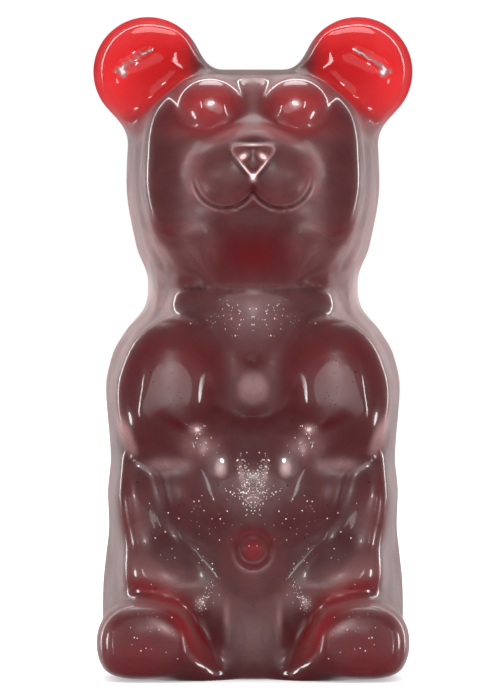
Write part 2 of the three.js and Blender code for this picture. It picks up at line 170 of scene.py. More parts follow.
@dataclass(frozen=True)
class Profile:
    """A smooth curve through (position, value) points that never overshoots them."""

    points: tuple[tuple[float, float], ...]

    def at(self, position: Array) -> Array:
        """Reads the curve.

        A cubic runs between each two points. The slope at a point is the weighted harmonic
        mean of the rises before and after it, and it is level where they change sign.

        Args:
            position: Where the curve is read.

        Returns:
            The curve's values there.
        """
        xs, ys = np.array(self.points, float).T
        gap = np.diff(xs)
        rise = np.diff(ys) / gap
        before, after = gap[:-1], gap[1:]
        same = rise[1:] * rise[:-1] > 0
        safe = np.where(same, rise[:-1], 1.0), np.where(same, rise[1:], 1.0)
        mean = 3 * (before + after) / ((2 * after + before) / safe[0] + (after + 2 * before) / safe[1])
        slope = np.concatenate([rise[:1], np.where(same, mean, 0.0), rise[-1:]])
        i = np.clip(np.searchsorted(xs, position) - 1, 0, len(xs) - 2)
        t = np.clip((position - xs[i]) / gap[i], 0, 1)
        return (
            (1 + 2 * t) * (1 - t) ** 2 * ys[i]
            + t * (1 - t) ** 2 * gap[i] * slope[i]
            + t * t * (3 - 2 * t) * ys[i + 1]
            + t * t * (t - 1) * gap[i] * slope[i + 1]
        )

    def beside(self, x: Array, z: Array) -> Array:
        """About the distance outwards from the curve, where its values lie across at each height.

        It is the way across over the root of one plus the square of the curve's slope, which is
        its rise over the millimetre round that height.

        Args:
            x: Distances from the middle plane.
            z: Heights.

        Returns:
            The distances, negative inside.
        """
        slope = self.at(z + 0.5) - self.at(z - 0.5)
        return (x - self.at(z)) / np.sqrt(1 + slope * slope)


@dataclass(frozen=True)
class Oval:
    """An oval solid that may lean in the XZ plane."""

    at: tuple[float, float, float]
    half: tuple[float, float, float]
    lean: float
    width: float

    def distance(self, x: Array, y: Array, z: Array) -> Array:
        """About the distance to the oval.

        With size the length of the point in half sizes and pull the length of its slope, the
        distance is size times (size less 1) over pull.

        Args:
            x: Distances from the middle plane.
            y: Depths.
            z: Heights.

        Returns:
            The distances, negative inside.
        """
        dy = y - self.at[1]
        along, up = turned(x - self.at[0], z - self.at[2], self.lean)
        a, b, c = self.half
        size = np.sqrt((along / a) ** 2 + (dy / b) ** 2 + (up / c) ** 2)
        pull = np.sqrt((along / a**2) ** 2 + (dy / b**2) ** 2 + (up / c**2) ** 2)
        return size * (size - 1) / (pull + TINY)


@dataclass(frozen=True)
class Limb:
    """A round bar between two points, which tapers from one radius to the other."""

    start: tuple[float, float, float]
    end: tuple[float, float, float]
    radius: tuple[float, float]
    width: float

    def distance(self, x: Array, y: Array, z: Array) -> Array:
        """The distance to the nearest point of the bar's middle line, less the radius there.

        Args:
            x: Distances from the middle plane.
            y: Depths.
            z: Heights.

        Returns:
            The distances, negative inside.
        """
        ax, ay, az = (e - s for s, e in zip(self.start, self.end))
        dx, dy, dz = x - self.start[0], y - self.start[1], z - self.start[2]
        t = np.clip((dx * ax + dy * ay + dz * az) / (ax * ax + ay * ay + az * az), 0, 1)
        off = np.sqrt((dx - t * ax) ** 2 + (dy - t * ay) ** 2 + (dz - t * az) ** 2)
        return off - (self.radius[0] + t * (self.radius[1] - self.radius[0]))


@dataclass(frozen=True)
class Pad:
    """A low pad on the front: an oval outline, and a face that crowns and may slope.

    The square of the way to the outline counts up to reach.
    """

    at: tuple[float, float, float]
    half: tuple[float, float]
    lean: float
    crown: float
    slope: float
    edge: float
    width: float
    reach: float = 2.5

    def distance(self, x: Array, y: Array, z: Array) -> Array:
        """The oval outline, clipped by the face.

        The face sets back from the pad's middle by crown times the square of the way to the
        outline, and by slope for each millimetre downwards.

        Args:
            x: Distances from the middle plane.
            y: Depths.
            z: Heights.

        Returns:
            The distances, negative inside.
        """
        outline = Oval((self.at[0], 0, self.at[2]), (self.half[0], FAR, self.half[1]), self.lean, 0)
        dz = z - self.at[2]
        along, up = turned(x - self.at[0], dz, self.lean)
        way = (along / self.half[0]) ** 2 + (up / self.half[1]) ** 2
        set_back = self.crown * np.minimum(way, self.reach) - self.slope * dz
        return clip(outline.distance(x, 0 * y, z), self.at[1] + set_back - y, self.edge)


@dataclass(frozen=True)
class Ripple:
    """The slight unevenness of a cast skin: many faint waves that cross in seeded directions."""

    seed: int
    length: tuple[float, float]
    height: float
    waves: int = 18

    def at(self, x: Array, y: Array, z: Array) -> Array:
        """The sum of the waves, each a sine along its own direction.

        Args:
            x: Distances from the middle plane.
            y: Depths.
            z: Heights.

        Returns:
            The heights, mostly within plus and minus the ripple's height.
        """
        rng = np.random.default_rng(self.seed)
        way = rng.normal(size=(self.waves, 3))
        way /= np.linalg.norm(way, axis=1)[:, None]
        turns = 2 * math.pi / rng.uniform(*self.length, size=self.waves)
        phase = rng.uniform(0, 2 * math.pi, size=self.waves)
        total = np.zeros(np.broadcast(x, y, z).shape)
        for k in range(self.waves):
            along = way[k, 0] * x + way[k, 1] * y + way[k, 2] * z
            total += np.sin(turns[k] * along + phase[k])
        return self.height * total / math.sqrt(self.waves)


# ---- the bear's form


@dataclass(frozen=True)
class MouldWall:
    """The mould's wall: the flat back's outline, drawn in towards the front, and the level base."""

    half_width: Profile = Profile((
        (-10, 53.5), (0, 54.5), (22, 56), (31, 55.8), (41, 54.8), (53, 53.6), (65, 54), (77, 53),
        (104, 54.7), (116, 52.3), (125, 47.2), (134, 40.3), (139, 39.2), (143, 39.2), (156, 43.5),
        (180, 47.2), (202, 46), (230, 40),
    ))
    head_top: float = 221.4
    head_corner: float = 16
    base_corner: float = 14
    ear_radius: float = 20.6
    ear_x: float = 38.9
    ear_z: float = HEIGHT - ear_radius
    ear_melt: float = 9
    draft: Profile = Profile((
        (0, 0.12), (40, 0.11), (58, 0.075), (84, 0.075), (104, 0.10), (124, 0.12), (230, 0.12),
    ))
    top_draft: float = 0.03

    def distance(self, x: Array, y: Array, z: Array) -> Array:
        """The outline's distance plus draft times the way to the back, clipped by the base.

        The top of the head has a draft of its own.

        Args:
            x: Distances from the middle plane.
            y: Depths.
            z: Heights.

        Returns:
            The distances, negative inside.
        """
        drawn_in = self.draft.at(z) * (BACK - y)
        side = self.half_width.beside(x, z) + drawn_in
        top = z - self.head_top + self.top_draft * (BACK - y)
        ear = np.sqrt((x - self.ear_x) ** 2 + (z - self.ear_z) ** 2) - self.ear_radius + drawn_in
        sides = melt(clip(side, top, self.head_corner), ear, self.ear_melt)
        return clip(sides, -z, self.base_corner)


@dataclass(frozen=True)
class PlainFront:
    """The plain front of body and face, which an oval arch closes above the face."""

    edge: Profile = Profile((
        (0, -12), (34, -13), (60, -15), (106, -14), (118, -9), (130, -4), (141, -3), (150, -6),
        (163, -12), (185, -12), (200, -10), (220, -7),
    ))
    crown: Profile = Profile((
        (0, 5), (34, 6), (60, 8), (106, 7), (124, 4), (145, 5), (163, 8), (185, 8), (200, 5), (220, 4),
    ))
    outline: Profile = Profile((
        (0, 62), (116, 60), (124, 42), (131, 31), (139, 28.5), (147, 30.5), (156, 37), (166, 41.5),
        (176, 43.5),
    ))
    rise: float = 41
    squareness: float = 3.1
    corner: float = 9

    def distance(self, x: Array, y: Array, z: Array, half_width: Array) -> Array:
        """The way in from the front's level, clipped by its outline and, above the face, by an arch.

        The level crowns as one less the square of the way across. The arch is half a
        superellipse on the outline's last width.

        Args:
            x: Distances from the middle plane.
            y: Depths.
            z: Heights.
            half_width: The flat back's half width at those heights.

        Returns:
            The distances, negative inside.
        """
        across = np.clip(x / half_width, 0, 1)
        level = self.edge.at(z) - self.crown.at(z) * (1 - across * across)
        springing, half = self.outline.points[-1]
        up = np.maximum(z - springing, 0) / self.rise
        arch = (squarish(x / half, up, self.squareness) - 1) * half
        side = self.outline.beside(x, z)
        return clip(level - y, np.where(z > springing, arch, side), self.corner)


@dataclass(frozen=True)
class Ears:
    """The level behind the face that carries the ears, each a low dome, and the shoulders below."""

    level: float = 22
    width: float = 10
    x: float = 45.2
    z: float = 225.2
    lean: float = -26.5
    along: float = 0.010
    across: float = 0.018
    deepest: float = 8
    shoulder: float = 2
    shoulder_top: Fade = Fade(196, 2.5)
    nearness: float = 0.85

    def distance(self, x: Array, y: Array, z: Array) -> Array:
        """The way in from the ears' level, which sets back with the square of the way from its middle.

        Nearness makes up for the slope, at which the way in is more than the distance.

        Args:
            x: Distances from the middle plane.
            y: Depths.
            z: Heights.

        Returns:
            The distances, negative inside.
        """
        along, across = turned(x - self.x, z - self.z, self.lean)
        set_back = self.along * along**2 + self.across * across**2
        ear = self.level + np.minimum(set_back, self.deepest)
        up = self.shoulder_top.above(z)
        return self.nearness * (self.shoulder + (ear - self.shoulder) * up - y)


@dataclass(frozen=True)
class Foot:
    """A foot: a rounded pad whose slightly hollow sole looks forward."""

    x: float = 38.2
    z: float = 13.4
    half_width: float = 17.4
    half_height: float = 15.4
    squareness: float = 2.25
    sole_y: float = FRONT - 1.3
    sole_x: float = 38.4
    sole_z: float = 14
    sole_half: tuple[float, float] = (11.2, 10.2)
    hollow: float = 1.3
    hollow_edge: float = 1.2
    heel: float = 14
    heel_round: float = 24
    edge: float = 14
    base_edge: float = 5
    width: float = 6

    def distance(self, x: Array, y: Array, z: Array) -> Array:
        """The pad's superellipse, clipped by the sole's level, by the base and by a round heel.

        Args:
            x: Distances from the middle plane.
            y: Depths.
            z: Heights.

        Returns:
            The distances, negative inside.
        """
        across = np.abs(x - self.x) / self.half_width
        up = np.abs(z - self.z) / self.half_height
        pad = (squarish(across, up, self.squareness) - 1) * self.half_height
        in_sole = np.hypot((x - self.sole_x) / self.sole_half[0], (z - self.sole_z) / self.sole_half[1])
        hollow = self.hollow * soft_step((1 - in_sole) * self.sole_half[1] / self.hollow_edge)
        pad = clip(pad, self.sole_y + hollow - y, self.edge)
        return clip(clip(pad, y - self.heel, self.heel_round), -z, self.base_edge)


@dataclass(frozen=True)
class Nose:
    """The nose: a crowned three-cornered pad with its point down."""

    z: float = 185.3
    top: float = 5.2
    side: float = 4.8
    side_slope: tuple[float, float] = (0.756, 0.655)
    corner: float = 5
    level: float = -42.5
    depth: float = 14
    crown: float = 0.02
    edge: float = 2.6
    back_edge: float = 1
    width: float = 1.4

    def outline(self, x: Array, z: Array) -> Array:
        """Three straight sides with rounded corners.

        Args:
            x: Distances from the middle plane.
            z: Heights.

        Returns:
            The distances in the XZ plane, negative inside.
        """
        down = self.z - z
        sides = self.side_slope[0] * x + self.side_slope[1] * down - self.side
        return clip(-down - self.top, sides, self.corner)

    def distance(self, x: Array, y: Array, z: Array) -> Array:
        """The outline, clipped by a crowned face.

        Args:
            x: Distances from the middle plane.
            y: Depths.
            z: Heights.

        Returns:
            The distances, negative inside.
        """
        face = self.level + self.crown * (x * x + (self.z - z) ** 2) - y
        return clip(clip(self.outline(x, z), face, self.edge), y - self.level - self.depth, self.back_edge)


@dataclass(frozen=True)
class PressedLines:
    """The mouth, the line at the neck, the navel, the nostrils and the ears' short creases."""

    mouth: Band = Band(0, 0.75, 1.3)
    mouth_x: float = 10
    mouth_z: float = 179
    mouth_radius: float = 10.8
    mouth_top: Fade = Fade(177, 1.3)
    neck: Band = Band(139.6, 1.2, 1)
    neck_end: Fade = Fade(30, 1.5)
    neck_front: Fade = Fade(0, 3)
    navel: Band = Band(4.6, 1.9, 2.2)
    navel_z: float = 46.7
    nostril: Band = Band(0, 1.9, 1.1)
    nostril_x: float = 3.5
    nostril_z: float = 186.6
    crease: Band = Band(0, 1.0, 0.7)
    crease_ends: tuple[tuple[float, float], tuple[float, float]] = ((50.6, 219.6), (38, 227.4))
    on_front: Fade = Fade(-18, 2)
    in_ear: Fade = Fade(34, 2)

    def from_lip(self, x: Array, z: Array) -> Array:
        """The way outwards from the middle of the mouth's line, which is an arc on each side."""
        return np.hypot(x - self.mouth_x, z - self.mouth_z) - self.mouth_radius

    def from_crease(self, x: Array, z: Array) -> Array:
        """The way from the short straight crease in the ear."""
        start, end = ((across, 0, height) for across, height in self.crease_ends)
        return Limb(start, end, (0, 0), 0).distance(x, 0 * x, z)

    def depth(self, x: Array, y: Array, z: Array) -> Array:
        """Each line is a bell across its width, on the front only.

        Args:
            x: Distances from the middle plane.
            y: Depths.
            z: Heights.

        Returns:
            How deep the front is pressed in.
        """
        mouth = self.mouth.across(self.from_lip(x, z)) * self.mouth_top.below(z)
        neck = self.neck.across(z) * self.neck_end.below(x) * self.neck_front.below(y)
        navel = self.navel.across(np.sqrt(x * x + (z - self.navel_z) ** 2))
        nostril = self.nostril.across(np.sqrt((x - self.nostril_x) ** 2 + (z - self.nostril_z) ** 2))
        crease = self.crease.across(self.from_crease(x, z)) * self.in_ear.below(y)
        return neck + self.on_front.below(y) * (mouth + navel + nostril) + crease


@dataclass(frozen=True)
class BearForm:
    """The whole bear as one field, from its forms in the order in which they join."""

    wall: MouldWall = MouldWall()
    front: PlainFront = PlainFront()
    ears: Ears = Ears()
    foot: Foot = Foot()
    nose: Nose = Nose()
    lines: PressedLines = PressedLines()
    ripples: tuple[Ripple, ...] = (Ripple(5, (16, 40), 0.25), Ripple(11, (7, 14), 0.035))
    side_round: float = 7.5
    top_round: float = 4.5
    ear_round: float = 13
    top_round_from: Fade = Fade(206, 3)
    ear_round_from: Fade = Fade(29, 2)
    base_calm: Fade = Fade(4, 1.5)
    middle_round: float = 0.5
    back_round: float = 2.5
    forms: tuple[Oval | Limb | Pad, ...] = (
        Pad((15.6, -22.5, 205.6), (13.4, 11.2), -4, 8, 0.12, 6, 3),  # eye
        Pad((0, -32.5, 172), (27, 26), 0, 4, 0.12, 22, 16),  # muzzle
        Pad((0, -35.2, 184.5), (12, 11.6), 0, 1.5, 0, 8, 6),  # root of the nose
        Pad((9.8, -34.8, 180.2), (11.4, 10.8), 0, 4, 0, 7, 7),  # cheek
        Limb((0, -6, 158), (0, -3, 144), (21, 18), 10),  # throat
        Pad((0, -15, 132), (30, 22), 0, 4, -0.3, 6, 6),  # neck
        Oval((0, 1, 107), (38, 26, 36), 0, 8),  # chest
        Oval((0, -8, 68), (39, 28, 28), 0, 6),  # belly
        Oval((0, -8, 50), (27, 26, 29), 0, 8),  # lower belly
        Limb((35, -16, 92), (18, -25, 85), (12, 8.5), 9),  # forearm
        Oval((42, -10, 60), (14, 17, 25), -20, 6),  # thigh
        Oval((30, -12, 34.5), (25, 20, 13), 20, 11),  # shin
        Oval((0, -6, 12), (36, 22, 20), 0, 8),  # between the feet
        Oval((0, -8, 34), (16, 24, 34), 0, 10),  # front of the seat
        Pad((0, -31, -6), (12.4, 38), 0, 1.5, 0, 4, 5),  # seat
    )
    upper_arm: Oval = Oval((30.5, -20, 104.5), (17.8, 10.5, 24), 6, 9)
    instep: Oval = Oval((25, -25, 7), (17, 13, 8), 32, 6)

    def distance(self, x: Array, y: Array, z: Array) -> Array:
        """The forms melt together, and the mould's wall, the base and the flat back clip them.

        The distance from the middle plane is the root of the square of x plus middle_round, so
        that the two halves meet without a crease. The ripples fade out below base_calm.

        Args:
            x: Positions across.
            y: Depths.
            z: Heights.

        Returns:
            About the distances to the skin, negative inside.
        """
        half = np.sqrt(x * x + self.middle_round)
        d = self.front.distance(half, y, z, self.wall.half_width.at(z))
        for form in (self.ears, *self.forms, self.nose):
            d = melt(d, form.distance(half, y, z), form.width)
        up = self.top_round_from.above(z)
        in_ear = up * self.ear_round_from.above(half)
        round_over = self.side_round + up * (self.top_round - self.side_round)
        round_over = round_over + in_ear * (self.ear_round - self.top_round)
        uneven = sum(ripple.at(half, y, z) for ripple in self.ripples)
        d = d + uneven * self.base_calm.above(z)
        d = clip(d, self.wall.distance(half, y, z), round_over)
        for form in (self.upper_arm, self.foot, self.instep):
            d = melt(d, form.distance(half, y, z), form.width)
        d = np.maximum(clip(d, y - BACK, self.back_round), -z)
        return d + self.lines.depth(half, y, z)


# ---- the skin


@dataclass(frozen=True)
class Skin:
    """A closed skin of four-sided patches, and how thick the jelly behind each point is."""

    points: Array
    patches: Array
    normals: Array
    thickness: Array

    def places(self) -> tuple[Array, Array, Array]:
        """Each point's distance from the middle plane, depth and height."""
        return np.abs(self.points[:, 0]), self.points[:, 1], self.points[:, 2]

    def squareness(self) -> Array:
        """How squarely the skin faces the front or the back: 1 fully, and 0 where it looks aside."""
        return np.abs(self.normals[:, 1])


def read_table(table: Array, xs: Array, zs: Array, p: Array) -> Array:
    """Reads a table over the XZ plane between its four nearest entries.

    Args:
        table: The entries.
        xs: Their positions across.
        zs: Their heights.
        p: The points to read it at, one a row.

    Returns:
        The values.
    """
    short_of_last = 1.001
    fx = np.minimum(np.interp(p[:, 0], xs, np.arange(len(xs))), len(xs) - short_of_last)
    fz = np.minimum(np.interp(p[:, 2], zs, np.arange(len(zs))), len(zs) - short_of_last)
    i, k = fx.astype(int), fz.astype(int)
    u, v = fx - i, fz - k
    low = table[i, k] * (1 - u) + table[i + 1, k] * u
    high = table[i, k + 1] * (1 - u) + table[i + 1, k + 1] * u
    return low * (1 - v) + high * v


@dataclass(frozen=True)
class SkinNet:
    """Draws the zero surface of a field as a closed net, which settles on it from a grid."""

    shape: Field
    low: tuple[float, float, float]
    high: tuple[float, float, float]
    cell: float
    fine: tuple[tuple[float, float] | None, ...]
    longest_move: float = 0.6
    least_slope: float = 1e-6

    def planes(self, axis: int) -> Array:
        """The grid's planes along one axis, twice as close where it is fine.

        Args:
            axis: 0 for across, 1 for depth and 2 for height.

        Returns:
            The planes' positions.
        """
        stops = [self.low[axis], *(self.fine[axis] or ()), self.high[axis]]
        parts = []
        for k, (start, end) in enumerate(zip(stops, stops[1:])):
            count = round((end - start) / (self.cell / 2 if k == 1 else self.cell))
            parts.append(np.linspace(start, end, count, endpoint=False))
        return np.concatenate([*parts, [stops[-1]]])

    def slope(self, p: Array, step: float = 0.05) -> Array:
        """The field's slope at each point, by central differences.

        Args:
            p: The points, one a row.
            step: The way from each point to its two neighbours.

        Returns:
            The slopes, one a row.
        """
        rises = [self.shape(*(p + s).T) - self.shape(*(p - s).T) for s in np.eye(3) * step]
        return np.stack(rises, 1) / (2 * step)

    def settle(self, p: Array, steps: int) -> Array:
        """Moves points onto the skin: each step is the field over its slope, and no longer than allowed.

        Args:
            p: The points, one a row.
            steps: How many steps they take.

        Returns:
            The settled points.
        """
        for _ in range(steps):
            slope = self.slope(p)
            move = -slope * (self.shape(*p.T) / ((slope**2).sum(1) + self.least_slope))[:, None]
            length = np.linalg.norm(move, axis=1)
            p = p + move * np.minimum(1, self.longest_move / np.maximum(length, TINY))[:, None]
        return p

    def even_out(self, p: Array, patches: Array, rounds: int) -> Array:
        """Slides each point along the skin halfway to its neighbours' middle.

        Args:
            p: The points, one a row.
            patches: Each patch's four points.
            rounds: How often this is done.

        Returns:
            The evened points.
        """
        start = patches.ravel()
        end = np.roll(patches, -1, axis=1).ravel()
        count = np.bincount(start, minlength=len(p)) + np.bincount(end, minlength=len(p))
        for _ in range(rounds):
            total = np.stack([
                np.bincount(start, p[end, k], len(p)) + np.bincount(end, p[start, k], len(p))
                for k in range(3)
            ], 1)
            shift = total / count[:, None] - p
            normal = self.slope(p)
            normal /= np.linalg.norm(normal, axis=1)[:, None] + TINY
            shift -= normal * (shift * normal).sum(1)[:, None]
            p = self.settle(p + 0.5 * shift, 1)
        return p

    def skin(self) -> Skin:
        """Draws the net, settles it on the skin and evens it out.

        Returns:
            The finished skin.
        """
        points, patches, inside, grid = self.draw()
        points = self.even_out(self.settle(points, steps=3), patches, rounds=2)
        points = self.settle(points, steps=2)
        normals = self.slope(points)
        normals /= np.linalg.norm(normals, axis=1)[:, None]
        thickness = inside.sum(axis=1) * (grid[1][1] - grid[1][0])
        return Skin(points, patches, normals, read_table(thickness, grid[0], grid[2], points))

    def draw(self) -> tuple[Array, Array, Array, tuple[Array, ...]]:
        """Draws the net before it settles.

        Every cell that the skin passes through holds one point, the mean of where the skin
        crosses the cell's edges, and a patch joins the four cells round each crossed edge.

        Returns:
            The points, each patch's four points, what is inside on the grid, and its planes.
        """
        grid = tuple(self.planes(axis) for axis in range(3))
        value = self.shape(*np.meshgrid(*grid, indexing="ij"))
        inside = value < 0
        corners = [(i, j, k) for i in (0, 1) for j in (0, 1) for k in (0, 1)]
        n = np.array(value.shape) - 1
        filled = sum(inside[i:n[0] + i, j:n[1] + j, k:n[2] + k].astype(np.int8) for i, j, k in corners)
        crossed = (filled > 0) & (filled < len(corners))
        cells = np.argwhere(crossed)
        name = np.full(crossed.shape, -1)
        name[crossed] = np.arange(len(cells))
        total = np.zeros((len(cells), 3))
        count = np.zeros(len(cells))
        for corner in corners:
            for axis in range(3):
                if corner[axis]:
                    continue
                a = cells + corner
                b = a + np.eye(3, dtype=int)[axis]
                va, vb = value[tuple(a.T)], value[tuple(b.T)]
                hit = (va < 0) != (vb < 0)
                t = np.where(hit, va / np.where(hit, va - vb, 1), 0)[:, None]
                pa = np.stack([grid[k][a[:, k]] for k in range(3)], 1)
                pb = np.stack([grid[k][b[:, k]] for k in range(3)], 1)
                total += np.where(hit[:, None], pa + (pb - pa) * t, 0)
                count += hit
        patches = np.concatenate([self.patches_along(inside, name, axis) for axis in range(3)])
        return total / count[:, None], patches, inside, grid

    @staticmethod
    def patches_along(inside: Array, name: Array, axis: int) -> Array:
        """The patches across the crossed edges that run along one axis, facing outwards.

        Args:
            inside: Whether each grid point is inside.
            name: Each cell's point, or -1.
            axis: The edges' axis.

        Returns:
            Each patch's four points.
        """
        low, high = [slice(None)] * 3, [slice(None)] * 3
        low[axis], high[axis] = slice(0, -1), slice(1, None)
        starts_inside = inside[tuple(low)]
        edges = np.argwhere(starts_inside != inside[tuple(high)])
        u, v = (axis + 1) % 3, (axis + 2) % 3
        around = []
        for du, dv in ((1, 1), (0, 1), (0, 0), (1, 0)):
            cell = edges.copy()
            cell[:, u] -= du
            cell[:, v] -= dv
            around.append(name[tuple(cell.T)])
        patches = np.stack(around, 1)
        backwards = ~starts_inside[tuple(edges.T)]
        patches[backwards] = patches[backwards][:, ::-1]
        return patches


# ---- shader building blocks


@dataclass(frozen=True)
class Wire:
    """A socket that carries a number, with arithmetic that adds Math nodes."""

    graph: "Graph"
    socket: Socket

    def math(self, operation: str, first: "Wire | float", second: "Wire | float") -> "Wire":
        """Adds a Math node with two inputs."""
        return self.graph.value("Math", {"operation": operation}, {0: first, 1: second})

    def __add__(self, other: "Wire | float") -> "Wire":
        """The sum."""
        return self.math("ADD", self, other)

    def __radd__(self, other: float) -> "Wire":
        """The sum, with the number first."""
        return self.math("ADD", other, self)

    def __sub__(self, other: "Wire | float") -> "Wire":
        """The difference."""
        return self.math("SUBTRACT", self, other)

    def __rsub__(self, other: float) -> "Wire":
        """The difference, with the number first."""
        return self.math("SUBTRACT", other, self)

    def __mul__(self, other: "Wire | float") -> "Wire":
        """The product."""
        return self.math("MULTIPLY", self, other)

    def __rmul__(self, other: float) -> "Wire":
        """The product, with the number first."""
        return self.math("MULTIPLY", other, self)

    def most(self, other: "Wire | float") -> "Wire":
        """The greater of the two."""
        return self.math("MAXIMUM", self, other)

    def least(self, other: "Wire | float") -> "Wire":
        """The lesser of the two."""
        return self.math("MINIMUM", self, other)

    def between(self, low: float, high: float) -> "Wire":
        """A smooth rise from 0 at low to 1 at high."""
        smooth = {"interpolation_type": "SMOOTHSTEP"}
        return self.graph.value("MapRange", smooth, {0: self, 1: low, 2: high})


@dataclass(frozen=True)
class Graph:
    """A node tree that is being drawn."""

    tree: bpy.types.NodeTree

    def node(self, kind: str, settings: Settings = None, inputs: Inputs = None) -> Node:
        """Adds a node.

        Args:
            kind: The node's type, without the ShaderNode that it starts with.
            settings: Its settings, and under "stops" a ramp's (position, colour) stops.
            inputs: Its sockets' values, or wires or sockets to link.

        Returns:
            The node.
        """
        node = self.tree.nodes.new("ShaderNode" + kind)
        for name, value in (settings or {}).items():
            if name == "stops":
                ramp = node.color_ramp
                while len(ramp.elements) < len(value):
                    ramp.elements.new(0.5)
                for element, (position, colour) in zip(ramp.elements, value):
                    element.position = position
                    element.color = (*colour, 1)
            else:
                setattr(node, name, value)
        for key, value in (inputs or {}).items():
            if isinstance(value, Wire):
                value = value.socket
            if isinstance(value, Socket):
                self.tree.links.new(value, node.inputs[key])
            else:
                node.inputs[key].default_value = value
        return node

    def value(self, kind: str, settings: Settings = None, inputs: Inputs = None,
              output: int | str = 0) -> Wire:
        """Adds a node and returns one of its outputs as a wire.

        Args:
            kind: The node's type.
            settings: Its settings.
            inputs: Its sockets' values or links.
            output: The output's name or place.

        Returns:
            The output.
        """
        return Wire(self, self.node(kind, settings, inputs).outputs[output])

    def mix(self, share: Wire, low: Socket | Colour, high: Socket | Colour) -> Socket:
        """Mixes two colours by a share.

        Args:
            share: 0 for the first colour and 1 for the second.
            low: The first colour, or a socket.
            high: The second colour, or a socket.

        Returns:
            The mixed colour's socket.
        """
        low, high = (c if isinstance(c, Socket) else (*c, 1) for c in (low, high))
        return self.node("Mix", {"data_type": "RGBA"}, {0: share, 6: low, 7: high}).outputs[2]

    def surface(self, shader: Node) -> None:
        """Makes a shader the material's surface."""
        self.node("OutputMaterial", inputs={"Surface": shader.outputs[0]})


@dataclass(frozen=True)
class Noise:
    """A soft uneven pattern: its scale per metre, and how detailed, rough and drawn out it is."""

    scale: float
    detail: float = 2
    roughness: float = 0.5
    distortion: float = 0

    def read(self, graph: Graph, place: Socket) -> Wire:
        """Adds the pattern, read at a place.

        Args:
            graph: The graph to add it to.
            place: The place's socket.

        Returns:
            The pattern, from 0 to 1.
        """
        inputs = {"Vector": place, "Scale": self.scale, "Detail": self.detail,
                  "Roughness": self.roughness, "Distortion": self.distortion}
        return graph.value("TexNoise", {}, inputs, "Fac")


def new_material(name: str) -> tuple[bpy.types.Material, Graph]:
    """Makes an empty material.

    Args:
        name: The material's name.

    Returns:
        The material and its graph.
    """
    material = bpy.data.materials.new(name)
    material.use_nodes = True
    material.node_tree.nodes.clear()
    return material, Graph(material.node_tree)


class SkinValue(Enum):
    """What the skin carries at each of its points for the finish to read."""

    # The glow is painted light that would come through the jelly, and the haze carries painted sheen and
    # highlights as well as milk.
    GLOW = "glow"
    HAZE = "haze"
    MATT = "matt"
    QUIET = "quiet"


# ---- finishes


@dataclass(frozen=True)
class JellyFinish:
    """Firm cherry jelly: dark red where it is thick and bright red where light would come through, which
    is painted into its colour as a glow, and a milky haze that also paints sheen and highlights.
    """

    # Painted glow: the red runs from deep where the jelly is thick to thin where light would shine through
    # it.
    deep: Colour = (0.056, 0.005, 0.007)
    middle: Colour = (0.19, 0.009, 0.013)
    warm: Colour = (0.38, 0.011, 0.014)
    thin: Colour = (0.56, 0.012, 0.015)
    # Milky haze, which also stands for painted sheen, and a pale white for foam and painted highlights.
    haze: Colour = (0.30, 0.172, 0.175)
    pale: Colour = (0.78, 0.62, 0.62)
    foam_and_highlight: tuple[float, float] = (1.35, 2.2)
    clouds: Noise = Noise(42, 5, 0.62, 1)
    cloud_edges: tuple[float, float] = (0.34, 0.66)
    clear_haze: float = 0.42
    cloud_haze: float = 0.52
    uneven_painted_glow: float = 0.12
    wear: Noise = Noise(26)
    wear_edges: tuple[float, float] = (0.48, 0.60)
    grain: Noise = Noise(420, 3)
    grain_strength: float = 0.12
    grain_depth: float = 0.0006
    roughness: float = 0.34
    wet: float = 0.95
    lost_when_quiet: float = 0.42
    least_coat: float = 0.01
    depth: float = 0.012

    def build(self) -> bpy.types.Material:
        """Makes the material.

        The painted glow sets the red. Haze, which also paints sheen and highlights, mixes the red towards
        milk, more where the clouds are dense, and past the foam's lower limit the milk turns pale, for
        foam and painted highlights. A wet coat lies on all but the matt and worn places, and a second
        shader without a mirror of its own takes over where the skin is quiet.

        Returns:
            The material.
        """
        material, graph = new_material("cherry_jelly")
        parts = graph.node("SeparateXYZ", {}, {0: graph.node("TexCoord").outputs["Object"]}).outputs
        beside = graph.value("Math", {"operation": "ABSOLUTE"}, {0: parts[0]})
        place = graph.node("CombineXYZ", {}, {0: beside, 1: parts[1], 2: parts[2]}).outputs[0]
        glow, haze, matt, quiet = (
            graph.value("Attribute", {"attribute_name": kind.value}, {}, "Fac") for kind in SkinValue
        )
        cloud = self.clouds.read(graph, place)
        # Painted glow sets the red, unevened by the clouds.
        stops = ((0.0, self.deep), (0.3, self.middle), (0.65, self.warm), (1.0, self.thin))
        red = graph.node("ValToRGB", {"stops": stops}, {0: glow + (cloud - 0.5) * self.uneven_painted_glow})
        density = self.clear_haze + self.cloud_haze * cloud.between(*self.cloud_edges)
        # Milk and painted sheen, turning pale past the foam's lower limit for foam and painted highlights.
        milk_and_sheen = graph.mix(haze.between(*self.foam_and_highlight), self.haze, self.pale)
        colour = graph.mix((haze * density).least(1.0), red.outputs[0], milk_and_sheen)
        worn = self.wear.read(graph, place).between(*self.wear_edges)
        dull = (matt + worn).most(0.0).least(1.0)
        coat = (1 - dull) * (self.wet - self.lost_when_quiet * quiet) + self.least_coat
        bump = graph.node("Bump", {}, {
            "Strength": self.grain_strength,
            "Distance": self.grain_depth,
            "Height": self.grain.read(graph, place),
        })
        body, soft = (graph.node("BsdfPrincipled", {}, {
            "Base Color": colour,
            "Roughness": self.roughness,
            "IOR": 1.45,
            "Specular IOR Level": mirror,
            "Subsurface Weight": 0.6,
            "Subsurface Radius": (1.0, 0.15, 0.12),
            "Subsurface Scale": self.depth,
            "Coat Weight": coat,
            "Coat Roughness": 0.04,
            "Coat IOR": 1.53,
            "Normal": bump.outputs[0],
        }).outputs[0] for mirror in (0.5, 0.0))
        graph.surface(graph.node("MixShader", {}, {0: quiet, 1: body, 2: soft}))
        return material


